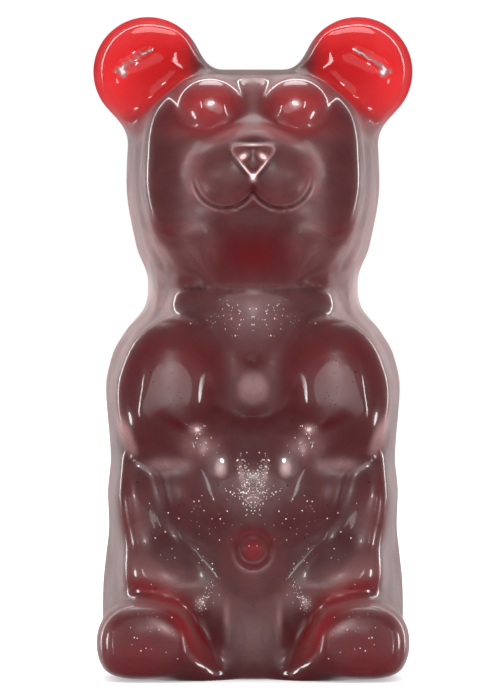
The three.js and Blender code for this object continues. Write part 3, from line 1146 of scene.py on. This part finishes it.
@dataclass(frozen=True)
class BubbleFinish:
    """The skin of an air bubble or a speck, which is darker in places."""

    colour: Colour
    darkest: float = 0.6
    patches: Noise = Noise(160)
    patch_edges: tuple[float, float] = (0.35, 0.65)
    roughness: float = 0.12

    def build(self, name: str) -> bpy.types.Material:
        """Makes the material.

        Args:
            name: Its name.

        Returns:
            The material.
        """
        material, graph = new_material(name)
        place = graph.node("TexCoord").outputs["Object"]
        bright = self.patches.read(graph, place).between(*self.patch_edges)
        colour = graph.mix(bright, tuple(self.darkest * part for part in self.colour), self.colour)
        inputs = {"Base Color": colour, "Roughness": self.roughness, "IOR": 1.4}
        graph.surface(graph.node("BsdfPrincipled", {}, inputs))
        return material


@dataclass(frozen=True)
class FloorFinish:
    """A plain pale studio floor that bounces a little light of its own."""

    colour: Colour = (0.86, 0.86, 0.86)
    roughness: float = 0.9
    own_light: float = 0.35

    def build(self) -> bpy.types.Material:
        """Makes the material.

        Returns:
            The material.
        """
        material, graph = new_material("studio_floor")
        graph.surface(graph.node("BsdfPrincipled", {}, {
            "Base Color": (*self.colour, 1),
            "Roughness": self.roughness,
            "Specular IOR Level": 0.0,
            "Emission Color": (1, 1, 1, 1),
            "Emission Strength": self.own_light,
        }))
        return material


# ---- pieces


def new_piece(name: str, points: Array, faces: Faces, material: bpy.types.Material) -> bpy.types.Object:
    """Makes a smooth piece that rides on the bear's body.

    Args:
        name: The piece's name.
        points: Its points in millimetres, one a row.
        faces: Each face's points.
        material: Its finish.

    Returns:
        The piece.
    """
    mesh = bpy.data.meshes.new(name)
    mesh.from_pydata(points * MM, [], faces)
    mesh.shade_smooth()
    mesh.materials.append(material)
    piece = bpy.data.objects.new(name, mesh)
    bpy.context.scene.collection.objects.link(piece)
    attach(piece, "root")
    return piece


@dataclass(frozen=True)
class Spot:
    """A soft oval patch of the front, on both sides of the middle plane.

    It leans by so many degrees, and its rim is crisper where its edge is more than 1.
    """

    x: float
    z: float
    half: tuple[float, float]
    amount: float
    lean: float = 0
    edge: float = 1

    def share(self, x: Array, z: Array) -> Array:
        """The patch's amount times a bell of the way to its rim, raised to the power of its edge."""
        along, up = turned(x - self.x, z - self.z, self.lean)
        return self.amount * bell(np.hypot(along / self.half[0], up / self.half[1]) ** self.edge)


@dataclass(frozen=True)
class Complexion:
    """What the finish reads at each point of the skin: its painted glow, its haze with painted sheen and
    highlights, its mattness and its quietness.

    Each is a plain value for the ears, the side walls or the front, and spots that add to it on
    the front only.
    """

    form: BearForm
    # Thicknesses between which the painted glow fades from full to none.
    thin: float = 24
    thick: float = 52
    # Painted shade at the rims, where the skin looks aside.
    rim_shade: float = 0.7
    rim_shade_sharpness: float = 1.5
    front: Fade = Fade(-2, 3)
    behind: Fade = Fade(-3, 2)
    side_wall: Fade = Fade(0.40, 0.11)
    flat_wall: Fade = Fade(0.25, 0.04)
    facing: Fade = Fade(0.86, 0.03)
    ear_rim: Fade = Fade(0.46, 0.03)
    ear_root: Fade = Fade(203, 2.6)
    root_x: float = 40
    root_slope: float = 0.25
    ear_inner_side: Fade = Fade(22, 1.5)
    ear_front: Fade = Fade(32, 2)
    wall_top: Fade = Fade(206, 3)
    nose_front: Fade = Fade(-40.3, 0.3)
    lip_top: Fade = Fade(177, 0.8)
    # Painted highlights round the nose, along the lower lip and along the ears' creases, with a painted
    # highlight at a crease's end, and painted shade in the mouth's groove.
    nose_rim_highlight: Band = Band(-0.25, 0.38, 2.4)
    lip_light: Band = Band(1.4, 0.45, 0.5)
    lip_shade: Band = Band(-0.2, 0.7, -0.3)
    crease: Band = Band(0.2, 0.35, 2.1)
    crease_end_highlight: Spot = Spot(47.6, 219.4, (1.5, 1.5), 2.2, 0, 2)
    # A little haze everywhere, which also paints a faint sheen.
    plain_haze_and_sheen: float = 0.075
    most_haze: float = 2.4
    plain_matt: float = 0.9
    ear_matt: float = -2
    # Painted reflection of the pale room on the side walls, as a milky haze that changes with depth and
    # height.
    wall_depth: Profile = Profile(((-15, 0.65), (35, 1)))
    wall_haze_and_sheen: Profile = Profile((
        (0, 0.72), (80, 0.80), (102, 1.3), (122, 1.5), (140, 1.75), (158, 1.2), (200, 0.95),
    ))
    # Painted glow where light would gather in the jelly: the eyes, the brow, the throat, the arms, the
    # navel, the feet, the valleys beside them and the thighs.
    painted_glows: tuple[Spot, ...] = (
        Spot(15.5, 205.5, (12.5, 8.5), 0.48),  # eye
        Spot(6, 213, (9, 4), 0.10),  # brow
        Spot(16, 196, (14, 3.5), 0.22),  # under the eye
        Spot(0, 150, (21, 9), 0.06),  # throat
        Spot(27, 112, (16, 14), 0.10),  # arm
        Spot(0, 46.7, (6.5, 6.5), 0.17),  # navel
        Spot(40, 10, (16, 11), 0.13),  # foot
        Spot(34, 31, (12, 4.6), 0.27, 22),  # valley above the foot
        Spot(21.5, 17, (12, 4.4), 0.30, 57),  # valley beside the foot
        Spot(43, 62, (7, 16), 0.05),  # thigh
    )
    # Painted sheen on the front, in a milky haze, where the lamps and the pale room would shine on it. A
    # negative amount takes sheen away: painted shade on the throat and the arms, and a deeper red in the
    # valleys and on the sole.
    haze_and_sheen_spots: tuple[Spot, ...] = (
        Spot(22, 172, (4, 16), 0.36),  # beside the muzzle
        Spot(17, 156, (5, 10), 0.11),  # jaw
        Spot(26, 150, (4, 9), 0.14),  # side of the throat
        Spot(40, 26, (14, 2), 0.30),  # top of the foot
        Spot(52.5, 16, (2.5, 10), 0.2),  # outer rim of the foot
        Spot(38, 11, (14, 12), -0.05),  # sole
        Spot(35, 30.5, (10, 4), -0.20, 20),  # valley above the foot
        Spot(22, 18, (13, 4), -0.20, 55),  # valley beside the foot
        Spot(0, 212, (3.5, 6), 0.65),  # between the eyes
        Spot(12, 180, (9, 9), 0.10),  # cheek
        Spot(0, 131, (14, 8), 0.46),  # top of the chest
        Spot(0, 103.7, (5.4, 5.6), 0.54, 0, 3),  # middle of the chest
        Spot(18.5, 84, (6, 4.8), 0.62),  # paw
        # Among these, pale painted highlights, partly foam, at the knuckles, the paw's lower edge, the
        # elbow, the tops of the thigh, the lap and the belly, the shin's end and the seat's edge.
        Spot(20, 89.3, (2.1, 1.5), 1.9),  # knuckles
        Spot(17.6, 82.5, (1.1, 2.2), 0.9, 20),  # paw's lower edge
        Spot(45.3, 87, (2.4, 7.5), 0.9, -22, 2),  # elbow's outer side
        Spot(30.8, 76.6, (6.8, 2.1), 1.2),  # top of the thigh
        Spot(11.4, 75.5, (2.0, 3.0), 1.5, 0, 2),  # top of the lap
        Spot(2, 69, (3.5, 6), 0.42),  # top of the belly
        Spot(0.6, 65, (1.9, 2.0), 1.1),  # top of the belly
        Spot(4.2, 73.5, (0.8, 4.5), 0.9, -8),  # top of the belly
        Spot(40, 52, (6, 14), 0.06),  # thigh
        Spot(28, 36, (19, 4.5), 0.32, 19.7),  # shin
        Spot(14, 28, (5, 5), 0.28),  # end of the shin
        Spot(18.8, 27.4, (1.6, 2.0), 1.3),  # end of the shin
        Spot(9.4, 21.5, (1.1, 5), 0.7),  # edge of the seat
        Spot(0, 16, (9, 18), 0.18),  # seat
        Spot(0, 151, (24, 9), -0.09),  # throat
        Spot(30, 108, (18, 22), -0.09),  # arm
        # Painted highlights on the nostrils, the tip of the nose, the middle of the eye and the sole's
        # upper rim.
        Spot(3.5, 185.8, (1.5, 0.9), 3.4, -35),  # nostril
        Spot(0, 178.6, (1.0, 1.2), 3.0),  # tip of the nose
        Spot(15.3, 205.4, (1.9, 1.6), 2.0, 0, 2),  # middle of the eye
        Spot(31.2, 19.3, (4.2, 1.5), 1.55, 30),  # upper rim of the sole
    )
    quiets: tuple[Spot, ...] = (
        Spot(0, 93, (9, 6), 1.0),  # under the chest's middle
        Spot(0, 114, (10, 6.5), 1.0),  # over the chest's middle
        Spot(14, 103, (6, 12), 0.8),  # beside the chest's middle
        Spot(0, 172, (16, 12), 0.5),  # cheeks
        Spot(0, 195, (16, 5), 0.4),  # top of the muzzle
        Spot(28, 64, (8, 14), 0.5, 30),  # groin
        Spot(20, 183, (4, 8), 1.0),  # cheek's outer side
        Spot(0, 46.7, (6, 6), 0.8),  # navel
        Spot(38, 15, (11, 10), 0.5),  # sole
        Spot(0, 151, (24, 9), 0.8),  # throat
        Spot(30, 161, (9, 5), 1.0),  # jaw
        Spot(26, 143, (9, 5), 0.8),  # under the throat
        Spot(26, 91, (14, 5), 1.0, 25),  # forearm
    )
    matts: tuple[Spot, ...] = (
        Spot(23, 172, (6, 24), 1.0),  # beside the muzzle
        Spot(0, 172, (18, 14), 0.9),  # cheeks
        Spot(0, 198, (8, 18), 0.9),  # bridge of the nose
        Spot(20, 125, (14, 8), 1.0),  # shoulder's inner side
        Spot(14, 88, (8, 8), 0.8),  # between the paws
        Spot(32, 104, (13, 10), -2.4),  # arm
        Spot(0, 103, (15, 16), 1.6),  # between the arms
        Spot(25, 91, (10, 4), 2.0, 25),  # forearm
        Spot(19, 84, (4, 3), -1.6),  # paw
        Spot(33, 77, (9, 2.5), -1.4),  # top of the thigh
        Spot(12, 75, (3, 5), -1.4),  # top of the lap
        Spot(15.5, 205, (11, 9), -2.0),  # eye
        Spot(15.6, 214, (14, 5), -1.6),  # brow
        Spot(7, 113, (4, 4), 1.5),  # over the chest's middle
        Spot(0, 184.5, (6, 5.5), -3.5),  # nose
        Spot(39, 180, (5, 22), -1.2),  # head's front edge
        Spot(28, 131, (3, 8), -1.2),  # neck's front edge
        Spot(46, 112, (5, 14), -1.8),  # arm's outer edge
        Spot(47, 72, (5, 8), -1.4),  # thigh's outer edge
        Spot(48, 42, (5, 8), -1.2),  # shin's outer edge
        Spot(48, 57, (6, 7), 1.6),  # knee's outer edge
        Spot(38, 15, (20, 18), -1.8),  # rim of the foot
        Spot(38, 15, (13, 12), 2.0),  # sole
        Spot(13, 6, (4, 5), -1.2),  # foot's inner edge
        Spot(11.5, 24, (3, 8), -1.4),  # edge of the seat
        Spot(0, 217, (9, 5), 1.5),  # between the brows
        Spot(0, 185, (3.6, 3), 4.0),  # middle of the nose
        Spot(21, 183, (4, 9), 1.0),  # cheek's outer side
        Spot(0, 46.7, (7.5, 7.5), 2.0),  # navel
        Spot(30.3, 112.4, (1.7, 1.5), 4.0, 0, 2),  # top of the arm
        Spot(29, 70, (4.5, 8), 3.0),  # beside the lap
        Spot(30, 161, (9, 6), 3.0),  # jaw
        Spot(24, 143, (10, 4), 3.0),  # under the throat
        Spot(21, 101, (3, 7), -1.6),  # arm's inner side
        Spot(52, 11, (3, 7), -2.0),  # foot's outer edge
    )

    def on_front(self, skin: Skin, spots: tuple[Spot, ...]) -> Array:
        """The sum of the spots, on the front only."""
        x, y, z = skin.places()
        return self.front.below(y) * sum(spot.share(x, z) for spot in spots)

    def in_ears(self, skin: Skin) -> Array:
        """1 on the ears, and 0 below their roots and between them."""
        x, _, z = skin.places()
        return self.ear_root.above(self.sloped(x, z)) * self.ear_inner_side.above(x)

    def sloped(self, x: Array, z: Array) -> Array:
        """Heights, made up for the slope of the ears' roots, which run down outwards."""
        return z + self.root_slope * (x - self.root_x)

    def glow(self, skin: Skin) -> Array:
        """How much light would come through, painted into the colour as a glow: 1 in the thin ears and
        about 0 in the thick body, with painted shade at the rims and painted glow spots on the front.

        Args:
            skin: The skin.

        Returns:
            The painted glow at each point.
        """
        thinness = np.clip((self.thick - skin.thickness) / (self.thick - self.thin), 0, 1)
        # Painted shade at the rims, where the skin looks aside, and painted glow spots on the front.
        rim = self.rim_shade * (1 - skin.squareness()) ** self.rim_shade_sharpness
        return np.clip(thinness * self.in_ears(skin) * (1 - rim) + self.on_front(skin, self.painted_glows), 0, 1)

    def haze(self, skin: Skin) -> Array:
        """How milky the skin is, and where sheen and highlights are painted on it: milk where the finest
        bubbles gather, a painted reflection of the pale room on the mould's side walls, and painted sheen
        and highlights in spots on the front.

        The nose's rim, the lips and the ears' creases are bands along their own lines: painted highlights
        round the nose, along the lower lip and along the creases, and painted shade in the mouth's groove.

        Args:
            skin: The skin.

        Returns:
            The haze and painted sheen at each point, which the finish shows in pale white, for foam and
            painted highlights, where it is well above 1.
        """
        x, y, z = skin.places()
        lines = self.form.lines
        # Painted reflection of the pale room on the side walls.
        wall = self.side_wall.below(skin.squareness()) * self.wall_haze_and_sheen.at(z) * self.wall_depth.at(y)
        wall = wall * self.wall_top.below(self.sloped(x, z))
        # Painted highlights round the nose, along the lower lip and along the ears' creases, and painted
        # shade in the mouth's groove.
        rim = self.nose_rim_highlight.across(self.form.nose.outline(x, z)) * self.nose_front.below(y)
        lip = lines.from_lip(x, z)
        lips = (self.lip_light.across(lip) + self.lip_shade.across(lip)) * self.lip_top.below(z)
        crease = self.crease.across(lines.from_crease(x, z)) + self.crease_end_highlight.share(x, z)
        painted_line_marks = rim + lips * self.front.below(y) + crease * self.ear_front.below(y)
        return np.clip(self.plain_haze_and_sheen + wall + painted_line_marks + self.on_front(skin, self.haze_and_sheen_spots), 0, self.most_haze)

    def matt(self, skin: Skin) -> Array:
        """How matt the skin is: glossy on rounded edges, and matt where it faces front or sideways.

        The ears are glossy up to their rims. A spot of a negative amount makes the skin glossy,
        and the flat side walls take no spots.

        Args:
            skin: The skin.

        Returns:
            The mattness at each point.
        """
        _, y, _ = skin.places()
        square = skin.squareness()
        plain = self.side_wall.below(square) + self.plain_matt * self.facing.above(square)
        plain = np.maximum(plain, self.behind.above(y))
        ear = self.in_ears(skin)
        on_ear = self.ear_matt + (1 - self.ear_matt) * self.ear_rim.below(square)
        spots = (1 - self.flat_wall.below(square)) * self.on_front(skin, self.matts)
        return np.clip(plain * (1 - ear) + on_ear * ear + spots, -1, 1)

    def quiet(self, skin: Skin) -> Array:
        """How little the skin mirrors: not at all on the ears, and less on a few spots."""
        return np.clip(self.in_ears(skin) + self.on_front(skin, self.quiets), 0, 1)


@dataclass(frozen=True)
class BearCasting:
    """The bear itself: one closed skin.

    Its grid is finer near the middle plane and at the height of the muzzle.
    """

    form: BearForm = BearForm()
    low: tuple[float, float, float] = (-62.4, -48.3, -3.1)
    high: tuple[float, float, float] = (62.4, 48.1, 244.9)
    fine: tuple[tuple[float, float] | None, ...] = ((-21.5, 21.5), None, (167, 194))
    cell: float = 1.3
    quick_cell: float = 2.0

    def draw(self) -> Skin:
        """Draws the skin."""
        cell = self.cell
        return SkinNet(self.form.distance, self.low, self.high, cell, self.fine).skin()

    def build(self, skin: Skin) -> bpy.types.Object:
        """Makes the piece from its skin, and gives it the values that its finish reads.

        Args:
            skin: The drawn skin.

        Returns:
            The bear's piece.
        """
        piece = new_piece("bear_skin", skin.points, skin.patches, JellyFinish().build())
        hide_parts("gummy_bear")
        look = Complexion(self.form)
        # The painted glow, the haze with its painted sheen and highlights, the mattness and the quietness
        # go onto the skin for the finish.
        values = {
            SkinValue.GLOW: look.glow(skin),
            SkinValue.HAZE: look.haze(skin),
            SkinValue.MATT: look.matt(skin),
            SkinValue.QUIET: look.quiet(skin),
        }
        for kind, numbers in values.items():
            layer = piece.data.attributes.new(kind.value, "FLOAT", "POINT")
            layer.data.foreach_set("value", numbers.astype(np.float32))
        return piece


@dataclass(frozen=True)
class Beads:
    """Fine round beads that lie in the skin, in groups on both sides of the middle plane.

    A group is a spot whose amount is its number of beads on one side.
    """

    name: str
    finish: BubbleFinish
    radius: tuple[float, float]
    seed: int
    groups: tuple[Spot, ...]
    sides: int = 6
    rings: int = 3
    sunk: float = 0.25
    spread: float = 0.7
    from_middle: float = 0.3
    least_facing: float = 0.3
    least_share: float = 1e-12

    def bead(self) -> tuple[Array, list[list[int]]]:
        """A round bead of radius 1: a grid of angles along and round it, closed by two poles.

        Returns:
            The bead's points and its faces.
        """
        tilt = np.arange(1, self.rings + 1) * math.pi / (self.rings + 1)
        turn = np.arange(self.sides) * 2 * math.pi / self.sides
        t, r = np.meshgrid(tilt, turn, indexing="ij")
        ring = np.stack([np.sin(t) * np.cos(r), np.sin(t) * np.sin(r), np.cos(t)], 2).reshape(-1, 3)
        points = np.concatenate([ring, [[0, 0, 1], [0, 0, -1]]])
        i = np.arange(self.sides)
        j = (i + 1) % self.sides
        last = (self.rings - 1) * self.sides
        faces = np.stack([np.full(self.sides, len(ring)), i, j], 1).tolist()
        faces += np.stack([np.full(self.sides, len(ring) + 1), last + j, last + i], 1).tolist()
        for k in range(self.rings - 1):
            low, high = k * self.sides, (k + 1) * self.sides
            faces += np.stack([low + i, high + i, high + j, low + j], 1).tolist()
        return points, faces

    def places(self, skin: Skin) -> tuple[Array, Array]:
        """Picks skin points by each group's share, and shifts them along the skin.

        A radius rises from the smallest to the largest with the square of a random share, so
        that most beads are small.

        Args:
            skin: The bear's skin.

        Returns:
            Each bead's middle and its radius.
        """
        rng = np.random.default_rng(self.seed)
        x, y, z = skin.points.T
        free = (y < 0) & (x > self.from_middle) & (skin.normals[:, 1] < -self.least_facing)
        smallest, largest = self.radius
        middles, radii = [], []
        for group in self.groups:
            share = np.where(free, group.share(x, z) / group.amount, 0) + self.least_share * free
            chosen = rng.choice(len(x), size=group.amount, replace=False, p=share / share.sum())
            radius = smallest + (largest - smallest) * rng.random(group.amount) ** 2
            normal = skin.normals[chosen]
            shift = rng.uniform(-self.spread, self.spread, (group.amount, 3))
            shift -= normal * (shift * normal).sum(1)[:, None]
            middles.append(skin.points[chosen] + shift - normal * (self.sunk * radius)[:, None])
            radii.append(radius)
        middle, radius = np.concatenate(middles), np.concatenate(radii)
        return np.concatenate([middle, middle * (-1, 1, 1)]), np.concatenate([radius, radius])

    def build(self, skin: Skin) -> bpy.types.Object:
        """Makes every bead and joins them in one mesh.

        Args:
            skin: The bear's skin.

        Returns:
            The beads' piece.
        """
        bead, faces = self.bead()
        middle, radius = self.places(skin)
        points = (middle[:, None] + bead[None] * radius[:, None, None]).reshape(-1, 3)
        starts = np.arange(0, len(points), len(bead))[:, None]
        joined = [corners for face in faces for corners in (starts + face).tolist()]
        return new_piece(self.name, points, joined, self.finish.build(self.name))


BUBBLES = Beads("air_bubbles", BubbleFinish((0.82, 0.70, 0.70)), (0.10, 0.33), 7, (
    Spot(7, 129, (8, 5), 50),  # top of the chest
    Spot(1.0, 67, (1.6, 3.5), 70),  # top of the belly
    Spot(3.2, 74, (1.3, 4), 60, -14),  # top of the belly
    Spot(5, 66, (3, 2), 24),  # top of the belly
    Spot(18.5, 27.6, (1.3, 2.0), 34),  # end of the shin
    Spot(16, 31.5, (0.8, 4.5), 30, 35),  # along the shin's end
    Spot(38, 16, (10, 8), 26),  # sole
    Spot(18, 84, (3, 2.5), 12),  # paw
    Spot(20, 89.3, (1.6, 1.1), 16),  # knuckles
    Spot(20, 62, (2.5, 6), 9),  # side of the belly
    Spot(20, 50, (14, 14), 40),  # lap
))
SPECKS = Beads("dark_specks", BubbleFinish((0.035, 0.004, 0.006)), (0.18, 0.34), 8, (
    Spot(31, 104, (7, 8), 16),  # arm
    Spot(22, 48, (16, 14), 16),  # lap
))


# ---- the studio


@dataclass(frozen=True)
class Lamp:
    """A soft oval lamp, in metres and watts, that points at the bear."""

    name: str
    place: tuple[float, float, float]
    size: tuple[float, float]
    power: float

    def build(self, aim: tuple[float, float, float]) -> None:
        """Makes the lamp.

        Args:
            aim: The place that it points at.
        """
        data = bpy.data.lights.new(self.name, "AREA")
        data.shape = "ELLIPSE"
        data.size, data.size_y = self.size
        data.energy = self.power
        lamp = bpy.data.objects.new(self.name, data)
        lamp.visible_camera = False
        lamp.location = self.place
        way = Vector(aim) - Vector(self.place)
        lamp.rotation_euler = way.to_track_quat("-Z", "Y").to_euler()
        bpy.context.scene.collection.objects.link(lamp)


@dataclass(frozen=True)
class Room:
    """The pale room: white to the camera, and its light for the bear by the way it comes from.

    A way runs from -1 to 1 both towards the back and upwards. Each pair is where a rise along it
    starts and ends.
    """

    off_floor: tuple[float, float] = (-0.9, -0.2)
    soft_base: float = 0.08
    soft_light: float = 0.8
    soft_behind: tuple[float, float] = (-0.6, 0.2)
    soft_far: tuple[float, float] = (0.5, 0.95)
    far_loss: float = 0.5
    soft_above: tuple[float, float] = (0.25, 0.95)
    mirror_base: float = 0.05
    mirror_behind: tuple[float, float] = (0.5, 0.8)
    behind_light: float = 0.62
    mirror_above: tuple[float, float] = (0.3, 0.95)
    above_light: float = 0.35
    ring_at: float = 0.5
    ring_width: float = 0.045
    ring_light: float = 13.0
    ring_foot: tuple[float, float] = (-0.35, 0.15)

    def soft(self, y: Wire, z: Wire) -> Wire:
        """The brightness for soft light, which comes from above, beside and behind.

        Args:
            y: The way towards the back.
            z: The way upwards.

        Returns:
            The brightness.
        """
        far = 1 - self.far_loss * y.between(*self.soft_far)
        beside = y.between(*self.soft_behind) * far * z.between(*self.off_floor)
        return self.soft_base + self.soft_light * beside + self.soft_light * z.between(*self.soft_above)

    def mirrored(self, y: Wire, z: Wire) -> Wire:
        """The brightness for reflections, which is darker, and brighter far behind and above.

        A thin bright ring behind the bear lines its rounded edges: one less the square of the
        way from the ring's middle in ring widths.

        Args:
            y: The way towards the back.
            z: The way upwards.

        Returns:
            The brightness.
        """
        off_ring = (y - self.ring_at) * (1 / self.ring_width)
        ring = (1 - off_ring * off_ring).most(0.0) * z.between(*self.ring_foot)
        behind = self.behind_light * y.between(*self.mirror_behind) * z.between(*self.off_floor)
        above = self.above_light * z.between(*self.mirror_above)
        return self.mirror_base + behind + above + self.ring_light * ring

    def build(self) -> None:
        """Makes the room."""
        world = bpy.data.worlds.new("studio_air")
        world.use_nodes = True
        world.node_tree.nodes.clear()
        graph = Graph(world.node_tree)
        way = graph.node("TexCoord").outputs["Generated"]
        _, y, z = (Wire(graph, part) for part in graph.node("SeparateXYZ", {}, {0: way}).outputs)
        mirrored = self.mirrored(y, z)
        by_camera = graph.value("LightPath", output="Is Camera Ray")
        by_soft_light = graph.value("LightPath", output="Is Diffuse Ray")
        light = mirrored + (self.soft(y, z) - mirrored) * by_soft_light
        strength = light * (1 - by_camera) + by_camera
        background = graph.node("Background", {}, {"Color": (1, 1, 1, 1), "Strength": strength})
        graph.node("OutputWorld", {}, {"Surface": background.outputs[0]})
        bpy.context.scene.world = world


@dataclass(frozen=True)
class Studio:
    """The plain floor, the pale room, the soft lamps and the camera, in metres."""

    floor_radius: float = 9.0
    floor_sides: int = 64
    aim: tuple[float, float, float] = (0, 0, 0.12)
    lamps: tuple[Lamp, ...] = (
        Lamp("overhead", (0, 0.2, 1.3), (0.9, 0.5), 6.0),
        Lamp("frontal", (0, -1.9, 0.16), (2.1, 1.3), 10.0),
        Lamp("flash", (0, -1.9, 0.70), (0.26, 0.26), 8.0),
        Lamp("lamp_left", (-1.15, -1.5, 0.12), (0.11, 0.80), 4.2),
        Lamp("lamp_right", (1.15, -1.5, 0.12), (0.11, 0.80), 4.2),
        Lamp("low_left", (-0.30, -0.12, 0.03), (0.05, 0.10), 0.18),
        Lamp("low_right", (0.30, -0.12, 0.03), (0.05, 0.10), 0.18),
    )
    sensor: float = 36
    lens: float = 241.82
    camera_place: tuple[float, float, float] = (-0.00127, -1.7, 0.11765)

    def build(self) -> None:
        """Makes the floor, the room, the lamps and the camera."""
        self.floor()
        Room().build()
        for lamp in self.lamps:
            lamp.build(self.aim)
        self.camera()

    def floor(self) -> None:
        """A round floor that reflections don't show."""
        angle = np.linspace(0, 2 * math.pi, self.floor_sides, endpoint=False)
        ring = np.stack([np.cos(angle), np.sin(angle), 0 * angle], 1) * self.floor_radius
        mesh = bpy.data.meshes.new("studio_floor")
        mesh.from_pydata(ring, [], [list(range(self.floor_sides))])
        mesh.materials.append(FloorFinish().build())
        floor = bpy.data.objects.new("studio_floor", mesh)
        floor.visible_glossy = False
        bpy.context.scene.collection.objects.link(floor)

    def camera(self) -> None:
        """A long lens, level with the middle of the bear."""
        data = bpy.data.cameras.new("camera")
        data.sensor_width = self.sensor
        data.lens = self.lens
        camera = bpy.data.objects.new("camera", data)
        camera.location = self.camera_place
        camera.rotation_euler = (math.pi / 2, 0, 0)
        bpy.context.scene.collection.objects.link(camera)
        bpy.context.scene.camera = camera
        bpy.context.scene.view_settings.view_transform = "Standard"


def report(piece: bpy.types.Object) -> None:
    """Logs a piece's size in points and faces."""
    log.info("%s: %d points, %d faces", piece.name, len(piece.data.vertices), len(piece.data.polygons))


def main() -> None:
    """Builds the bear and the studio, and reports each piece."""
    logging.basicConfig(level=logging.INFO, format="%(name)s: %(message)s")
    casting = BearCasting()
    skin = casting.draw()
    report(casting.build(skin))
    report(BUBBLES.build(skin))
    report(SPECKS.build(skin))
    Studio().build()


if __name__ == "__main__":
    main()
